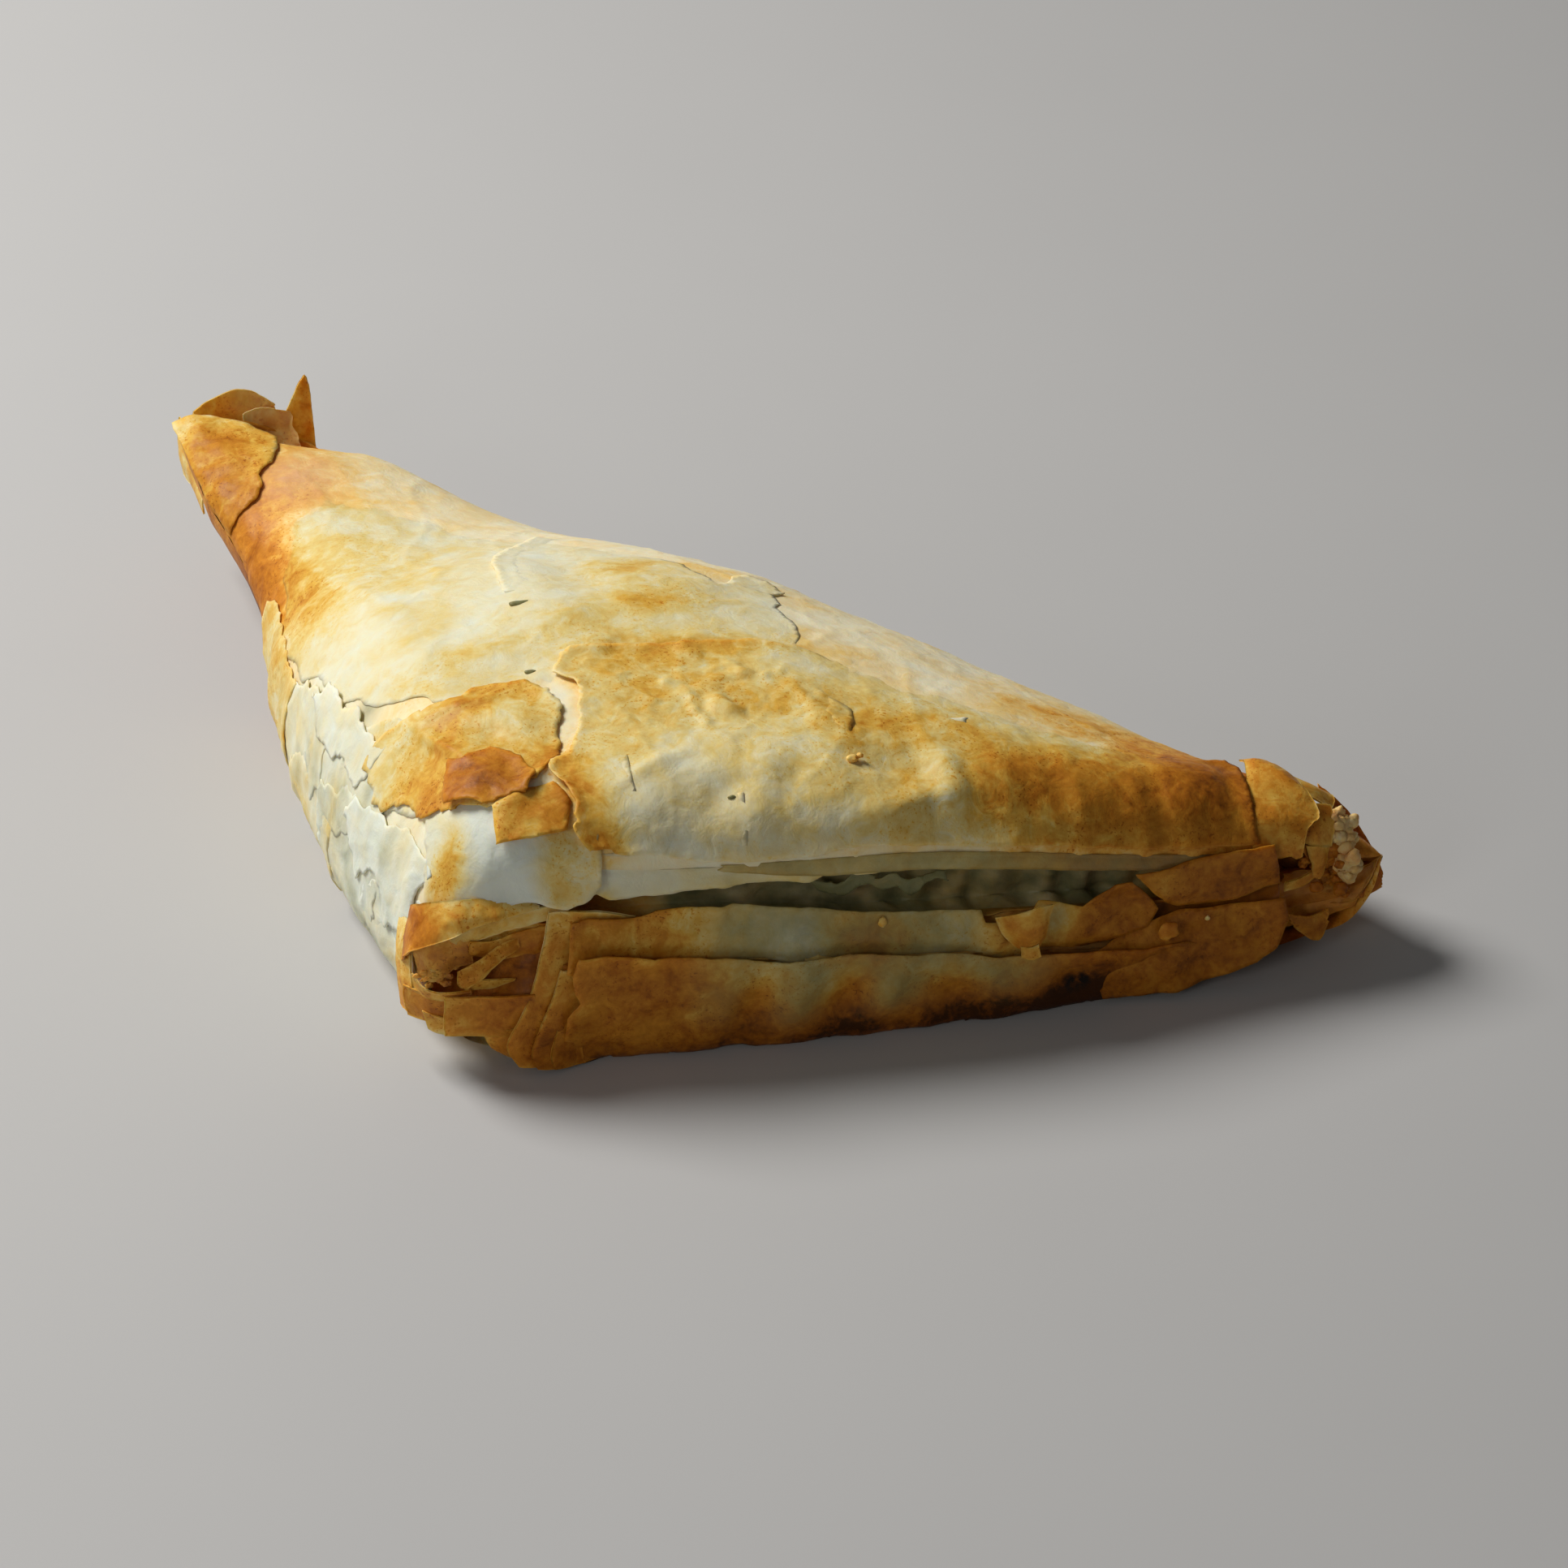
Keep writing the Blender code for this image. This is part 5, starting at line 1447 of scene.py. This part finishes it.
class PIE_OT_left_side(bpy.types.Operator):
    """Build the pale torn sheets of the left side"""

    bl_idname = "pie.left_side"
    bl_label = "Left side"

    def execute(self, context):
        top_sheet("upper_back_sheet", 91, (
            (1.2, 30.0, 1.6), (1.4, 34.0), (2.6, 38.0), (3.4, 42.0), (3.2, 47.0), (3.6, 53.0), (3.0, 60.0),
            (2.4, 70.0), (2.0, 80.0, 0.4), (3.0, 90.0, 0.0), (6.0, 100.0, -0.8), (14.0, 108.0, -1.0),
            (24.0, 104.0, -1.0), (34.0, 92.0, -1.0), (44.0, 82.0, -1.0), (54.0, 66.0, 0.4), (56.0, 58.0, 1.2),
            (60.0, 57.6, 1.6), (63.5, 56.5, 1.4), (63.2, 50.0), (62.2, 42.0), (60.0, 36.0, -1.0), (46.0, 33.0, -1.0),
            (31.0, 31.0, -1.0), (23.0, 30.0, -0.4), (16.0, 31.4), (12.5, 32.0), (11.3, 34.2), (9.3, 35.6),
            (7.4, 38.6), (5.0, 44.6), (3.9, 46.0), (4.2, 41.0, 1.4), (2.8, 35.0, 1.5), (2.2, 30.0, 1.6),
        ), baked=0.02,
            lift=0.10, ragged=0.8, curl=0.08, curl_reach=0.9, ripple=0.03, toasted=-0.04)
        top_sheet("lower_left_sheet", 92, (
            (4.2, 41.4), (5.6, 36.6), (6.8, 35.0), (8.4, 32.6), (9.4, 29.0), (11.0, 29.6), (15.0, 28.0, -1.0),
            (22.0, 24.0, -1.0), (24.0, 6.0, -1.0), (23.0, -2.0, 8.0, 0.6), (20.6, -4.2, 13.0, 0.6),
            (18.4, -5.4, 15.0, 0.5), (15.4, -5.0, 15.0, 0.4), (12.4, -4.6, 13.0, 0.3), (8.0, -3.6, 9.0, 0.3),
            (4.0, -2.6, 5.0, 0.3), (1.8, 0.6, 2.0), (1.4, 3.6), (3.4, 7.8), 
            (4.6, 11.8), (4.2, 15.9), (3.8, 18.0), (3.4, 21.6), (2.9, 25.0), (3.8, 29.0), (5.2, 30.8),
            (4.0, 35.0), (3.0, 39.0),
        ), baked=-0.02,
            spots=(
            (9.5, 5.0, 4.0, 5.0, 0.0, -0.16), (4.4, 3.2, 2.6, 3.4, -20.0, 0.46), (12.0, 1.0, 4.0, 4.0, 0.0, -0.18),
            (17.0, 0.6, 2.4, 3.0, 0.0, 0.22), (7.0, 33.0, 2.4, 4.0, 0.0, 0.12),
        ), lift=0.12, ragged=0.7, curl=0.10, curl_reach=0.9, ripple=0.04, toasted=-0.04)
        rags = (
            ("left_gold_flap", ((62, 20, 0.3), (75, 19, 0), (88, 16, 0.2), (90, 10), (84, 4), (72, 2), (63, 4),
             (61, 12)), 93, 0.35, 0.45, 0.26, 0.0),
            ("left_rag_back", ((44, 26, 0), (58, 24, 0.2), (66, 18, 0.4), (64, 8), (56, 5), (48, 9), (43, 17)),
             94, 0.2, 0.25, 0.04, 0.10),
            ("left_wavy_flap", ((36, 15, 0.2), (48, 17, 0), (58, 12, 0.4), (57, 4), (47, 2), (38, 4)),
             95, 0.5, 0.7, 0.12, 0.04),
            ("left_rag_upper", ((22, 27, 0), (38, 27, 0), (50, 24, 0.3), (51, 17), (42, 12), (33, 15), (25, 20)),
             96, 0.12, 0.22, 0.02, 0.20),
            ("left_rag_middle", ((17, 23, 0), (32, 23, 0.2), (42, 17), (42, 7), (34, 3), (25, 5), (17, 11)),
             97, 0.25, 0.3, 0.0, 0.22),
            ("left_white_sheet", ((5, 25, 0.2), (14, 27, 0), (27, 25, 0.4), (31, 20), (24, 15), (19, 18), (13, 12),
             (5, 15)), 98, 0.4, 0.22, -0.05, 0.04),
            ("left_rag_front", ((4, 20, 0.3), (13, 20, 0), (22, 15), (25, 7), (19, 3), (10, 4), (3, 11)),
             99, 0.18, 0.25, 0.02, 0.18),
            ("left_rag_low", ((8, 12, 0.2), (20, 12, 0), (34, 9, 0), (40, 5), (30, 1.5), (16, 1.5), (9, 4)),
             90, 0.4, 0.45, 0.06, 0.12),
            ("left_rag_high", ((30, 30, 0.2), (40, 30.5, 0.2), (52, 28, 0.3), (54, 24), (46, 21), (38, 25), (31, 24)),
             89, 0.3, 0.4, 0.02, 0.05))
        for name, outline, seed, lift, curl, baked, green in rags:
            sheet(
                name,
                left_wall,
                outline,
                thin_filo(),
                seed,
                lambda p, baked=baked: 0.10 + baked + 0.12 * rumple(p, 8.0, 7, 2),
                relief=on_left,
                lift=lift,
                grain=0.5,
                ragged=1.2,
                curl=0.5 * curl,
                curl_reach=2.0,
                ripple=0.10,
                toasted=-0.03,
                outward=LEFT,
                extras={"leaf_green": lambda p, green=green: 0.04 + green + 0.30 * rumple(p, 6.0, 77, 2)},
            )
        return {"FINISHED"}


class PIE_OT_flakes(bpy.types.Operator):
    """Build the browned flakes, curls and cracks on top"""

    bl_idname = "pie.flakes"
    bl_label = "Top flakes"

    def execute(self, context):
        top_sheet("browned_flake", 101, (
            (10.5, 30.3), (14.0, 30.6), (20.0, 32.0), (23.0, 31.9), (25.6, 29.6), (26.4, 24.5, 0.8), (24.2, 18.0, 0.6),
            (22.0, 14.0, 0.5), (19.0, 9.6, 0.5), (16.0, 6.2, 0.8), (11.5, 4.6), (7.0, 8.2), (4.6, 15.9, 0.8),
            (3.2, 24.0, 0.8), (3.6, 27.6), (4.6, 31.0), (6.6, 32.0), (9.0, 31.2),
        ), baked=0.27,
            spots=(
            (8.0, 12.0, 4.0, 6.0, 0.0, 0.14), (20.0, 24.0, 5.0, 5.0, 0.0, -0.08), (5.0, 28.0, 3.0, 5.0, 0.0, -0.16),
            (14.0, 27.0, 6.0, 1.6, 0.0, 0.10), (19.0, 12.0, 3.0, 4.0, 40.0, 0.10), (11.0, 21.0, 1.6, 5.0, 0.0, 0.12),
        ), lift=0.55, grain=0.5, ragged=1.1, curl=0.18, curl_reach=1.0, ripple=0.18, toasted=0.0)
        top_sheet("dark_flake", 102, (
            (8.6, 13.3), (10.2, 17.4), (11.2, 15.8), (14.8, 17.2), (17.4, 13.4), (17.8, 9.4, 0.8), (15.6, 6.4, 0.8),
            (10.4, 6.0), (7.4, 9.4),
        ), baked=0.58,
            spots=((11.0, 9.4, 3.2, 3.2, 20.0, 0.14),),
            lift=1.25, grain=0.4, ragged=0.5, curl=0.30, curl_reach=1.2, ripple=0.25, toasted=-0.10)
        top_sheet("straight_flake", 103, (
            (11.5, 5.6), (10.4, 1.6), (14.5, 1.4), (19.2, 2.1), (21.0, 5.6, 0.6), (20.0, 9.0, 0.5), (16.0, 7.4, 0.6),
        ), baked=0.38,
            spots=((16.0, 4.4, 3.0, 2.6, 0.0, 0.10),),
            lift=0.75, ragged=0.18, curl=0.15, toasted=-0.04)
        top_sheet("blister_curl", 104, (
            (54.5, 21.0, -3.0), (57.0, 23.4, -1.6), (60.5, 23.4, 1.0), (62.6, 20.4, 1.6), (61.8, 17.0, 1.4),
            (59.8, 13.6, 0.4), (57.0, 15.0, -2.0), (55.0, 18.0, -3.0),
        ), baked=0.02,
            lift=0.26, ragged=0.10, curl=0.14, toasted=0.0)
        top_sheet("white_peel", 105,
            ((72.5, 14.5, 0.4), (73.0, 16.9), (75.0, 18.8), (78.0, 19.2), (77.0, 16.4, 0.4), (75.0, 14.6, 0.2)),
            baked=-0.22,
            lift=0.05, ragged=0.45, curl=0.12, toasted=0.0)
        top_sheet("back_flake", 106, (
            (57.0, 57.0, 0.0), (59.0, 61.0), (62.0, 62.5, 1.2), (65.5, 60.0, 1.4), (66.0, 57.2, 1.0), (62.0, 55.0, 0.2),
        ), baked=-0.04,
            lift=0.22, ragged=0.6, curl=0.25, curl_reach=1.0)
        cracks = (
            ("crack_left", ((31.2, 17.2), (30.8, 14.0), (29.9, 10.0), (29.6, 6.2)), 107, -5.0),
            ("crack_front", ((43.2, 5.2), (42.8, 2.4), (42.0, 0.6)), 108, -4.0),
            ("crack_top", ((40.0, 88.0), (34.0, 80.0), (30.5, 75.0), (29.0, 69.0), (28.0, 62.0), (27.5, 57.0)),
             109, 6.0))
        for name, line, seed, reach in cracks:
            top_sheet(
                name,
                seed,
            (*line, *((q + reach, v, -1.6) for q, v in reversed(line))),
                baked=0.0,
                lift=0.14,
                ragged=0.14,
                curl=0.25,
                curl_reach=1.0,
            )
        lumps("loose_crumbs", (
            (57.9, 4.6, 37.1, 0.8, 0.6, 0.5), (59.0, 5.0, 37.2, 0.45, 0.4, 0.35), (59.8, -5.6, 17.6, 0.6, 0.4, 0.8),
            (104.0, -6.6, 12.2, 0.35, 0.25, 0.35),
            ), baking=0.40, rough=0.35, seed=112)
        lumps("herb_flecks", (
            (21.6, 48.4, 38.4, 1.5, 0.5, 0.35), (20.0, 31.6, 38.4, 0.8, 0.35, 0.25), (41.0, 0.6, 36.2, 0.7, 0.3, 0.25),
            ), baking=0.3, rough=0.3, seed=113,
            green=1.6)
        return {"FINISHED"}


class PIE_OT_tip(bpy.types.Operator):
    """Build the folded tip: its cuff, far wall and spike"""

    bl_idname = "pie.tip"
    bl_label = "Folded tip"

    def execute(self, context):
        top_sheet("tip_cuff", 121, (
            (0.1, 131.4, 1.6, 0.2), (3.0, 131.4, 2.6, 0.2), (7.0, 131.2, 1.6, 0.2), (9.6, 129.6, 1.0, 0.3),
            (13.0, 125.8), (12.2, 121.4), (10.5, 117.5), (7.8, 114.2), (7.2, 111.6), (5.5, 109.5), (3.0, 107.9),
            (1.0, 106.2), (0.1, 106.0, 0.4, 0.1), (0.05, 114.0, 0.4, 0.1), (0.05, 123.0, 0.6, 0.1),
        ), baked=-0.06,
            spots=((3.0, 124.0, 5.0, 5.0, 0.0, 0.06),), extras={"rosy": 0.0},
            lift=0.42, ragged=0.35, curl=0.16, curl_reach=1.2, ripple=0.25)
        flap("tip_far_wall", (
            ((-13.4, 132.4, 23.4), (-11.4, 133.4, 24.2), (-7.8, 134.0, 25.4), (-4.4, 134.0, 25.0), (-1.0, 133.2, 22.8)),
            ((-13.4, 132.2, 21.4), (-11.2, 133.0, 21.6), (-8.0, 133.6, 22.2), (-4.3, 133.3, 21.6), (-0.8, 132.6, 20.2)),
            ((-13.2, 131.8, 17.0), (-11.0, 132.6, 17.0), (-8.0, 132.8, 17.0), (-4.2, 132.4, 16.4), (-0.6, 131.8, 16.0)),
        ), seed=122,
            baking=lambda p: 0.60 - 0.10 * ramp(p[..., 0], -8.0, -1.0),
extras={"rosy": lambda p: 0.55 * ramp(p[..., 0], -12.0, -5.0)}, ragged=0.05, ripple=0.35)
        flap("tip_inner_leaf", (
            ((-6.2, 131.4, 23.0), (-3.0, 131.6, 23.4), (1.2, 131.4, 22.2)),
            ((-6.4, 130.2, 20.4), (-3.0, 130.4, 20.6), (1.6, 130.2, 20.0)),
            ((-6.4, 128.6, 17.6), (-3.0, 128.8, 17.6), (2.0, 128.8, 17.4)),
        ), seed=123, baking=0.52, extras={"rosy": 0.6}, ragged=0.10, ripple=0.35)
        flap("tip_spike", (
            ((3.2, 132.2, 27.6), (3.5, 132.2, 27.9), (3.8, 132.0, 27.5)),
            ((1.6, 132.2, 24.4), (3.0, 132.3, 24.8), (4.2, 131.8, 24.4)),
            ((0.0, 131.8, 21.2), (2.2, 131.8, 21.2), (4.3, 131.2, 20.8)),
            ((-0.8, 130.8, 17.6), (2.0, 130.8, 17.2), (4.4, 130.4, 16.8)),
            ((-1.2, 129.2, 15.6), (1.8, 129.2, 14.8), (4.4, 129.2, 14.2)),
        ), seed=124,
            baking=lambda p: 0.52 + 0.1 * ramp(p[..., 0], 2.0, 4.0), ragged=0.06, ripple=0.3)
        flap("tip_cuff_side", (
            ((-15.5, 131.2, 23.6), (-14.8, 127.0, 22.9), (-14.2, 122.0, 21.8), (-13.8, 116.0, 20.0)),
            ((-16.0, 130.8, 18.6), (-15.6, 127.0, 18.8), (-15.0, 122.0, 18.4), (-14.4, 116.0, 17.6)),
            ((-15.5, 130.2, 13.9), (-15.2, 127.0, 14.8), (-14.8, 123.0, 15.8), (-14.2, 116.0, 15.6)),
        ), seed=125, baking=0.50, ragged=0.03)
        return {"FINISHED"}


# ---------------------------------------------------------------- stage
FLOOR_REACH = 3.0
LAMP_AIM = (0.0, 0.0, 0.02)
KEY_PLACE, KEY_SIZE, KEY_TINT = (-0.47, 0.32, 0.66), 0.38, (1.0, 0.975, 0.94)
FILL_PLACE, FILL_SIZE, FILL_TINT = (-0.42, -0.48, 0.30), 0.25, (1.0, 0.98, 0.95)
SKY_COLOUR, SKY_STRENGTH = (1.0, 0.99, 0.97), 0.075
# The camera looks at VIEW_CENTRE from this many degrees above the floor and round from the front.
VIEW_UP, VIEW_TURN = 35.0, -12.13
VIEW_CENTRE = np.array([59.10, 52.65])


class PIE_OT_stage(bpy.types.Operator):
    """Set the floor, the soft lights and the camera"""

    bl_idname = "pie.stage"
    bl_label = "Stage"

    def execute(self, context):
        stage = context.scene.pie_stage
        floor_mesh = bpy.data.meshes.new("floor")
        reach = FLOOR_REACH
        floor_mesh.from_pydata(
            [(-reach, -reach, 0), (reach, -reach, 0), (reach, reach, 0), (-reach, reach, 0)], [], [(0, 1, 2, 3)]
        )
        floor = bpy.data.objects.new("floor", floor_mesh)
        context.scene.collection.objects.link(floor)
        r = Recipe("pale_floor")
        shade = r.mix(r.noise(60.0, 3.0), colour(stage.floor_colour), colour([c * 0.96 for c in stage.floor_colour]))
        floor_mesh.materials.append(r.finish({"Base Color": shade}, {"Roughness": 0.75}))

        def area(name, place, aim, size, power, tint):
            lamp = bpy.data.lights.new(name, "AREA")
            lamp.shape = "DISK"
            lamp.size = size
            lamp.energy = power
            lamp.color = tint
            made = bpy.data.objects.new(name, lamp)
            made.location = place
            made.rotation_euler = (Vector(aim) - Vector(place)).to_track_quat("-Z", "Y").to_euler()
            context.scene.collection.objects.link(made)

        area("key_light", KEY_PLACE, LAMP_AIM, KEY_SIZE, stage.key_power, KEY_TINT)
        area("fill_light", FILL_PLACE, LAMP_AIM, FILL_SIZE, stage.fill_power, FILL_TINT)
        world = bpy.data.worlds.new("studio")
        world.use_nodes = True
        world.node_tree.nodes["Background"].inputs["Color"].default_value = colour(SKY_COLOUR)
        world.node_tree.nodes["Background"].inputs["Strength"].default_value = SKY_STRENGTH
        context.scene.world = world
        context.scene.view_settings.view_transform = "Standard"

        up, turn = math.radians(VIEW_UP), math.radians(VIEW_TURN)
        aim = Vector((*(VIEW_CENTRE - PLAN_CENTRE) * MM, 0.0))
        back = Vector((math.sin(turn) * math.cos(up), -math.cos(turn) * math.cos(up), math.sin(up)))
        lens = bpy.data.cameras.new("camera")
        lens.sensor_width = 36.0
        lens.sensor_fit = "HORIZONTAL"
        lens.angle = stage.field_of_view
        lens.clip_start = 0.01
        camera = bpy.data.objects.new("camera", lens)
        camera.location = aim + back * stage.camera_distance
        camera.rotation_euler = (-back).to_track_quat("-Z", "Y").to_euler()
        context.scene.collection.objects.link(camera)
        context.scene.camera = camera
        return {"FINISHED"}


class PIE_PT_panel(bpy.types.Panel):
    """Lists the pie's pieces in the sidebar"""

    bl_idname = "PIE_PT_panel"
    bl_label = "Spanakopita"
    bl_space_type = "VIEW_3D"
    bl_region_type = "UI"
    bl_category = "Pie"

    def draw(self, context):
        layout = self.layout
        for settings in (context.scene.pie_crust, context.scene.pie_stage):
            box = layout.box()
            for key in settings.bl_rna.properties.keys():
                if key not in ("rna_type", "name"):
                    box.prop(settings, key)
        for operator in PIECES:
            layout.operator(operator.bl_idname)


PIECES = (
    PIE_OT_crust,
    PIE_OT_front_sheets,
    PIE_OT_left_corner,
    PIE_OT_right_corner,
    PIE_OT_left_side,
    PIE_OT_flakes,
    PIE_OT_tip,
    PIE_OT_stage,
)
CLASSES = (PieCrust, PieStage, *PIECES, PIE_PT_panel)


def register():
    for each in CLASSES:
        bpy.utils.register_class(each)
    bpy.types.Scene.pie_crust = bpy.props.PointerProperty(type=PieCrust)
    bpy.types.Scene.pie_stage = bpy.props.PointerProperty(type=PieStage)


def unregister():
    del bpy.types.Scene.pie_stage
    del bpy.types.Scene.pie_crust
    for each in reversed(CLASSES):
        bpy.utils.unregister_class(each)


def main():
    register()
    bpy.ops.pie.crust()
    bpy.ops.pie.front_sheets()
    bpy.ops.pie.left_corner()
    bpy.ops.pie.right_corner()
    bpy.ops.pie.left_side()
    bpy.ops.pie.flakes()
    bpy.ops.pie.tip()
    bpy.ops.pie.stage()


if __name__ == "__main__":
    main()
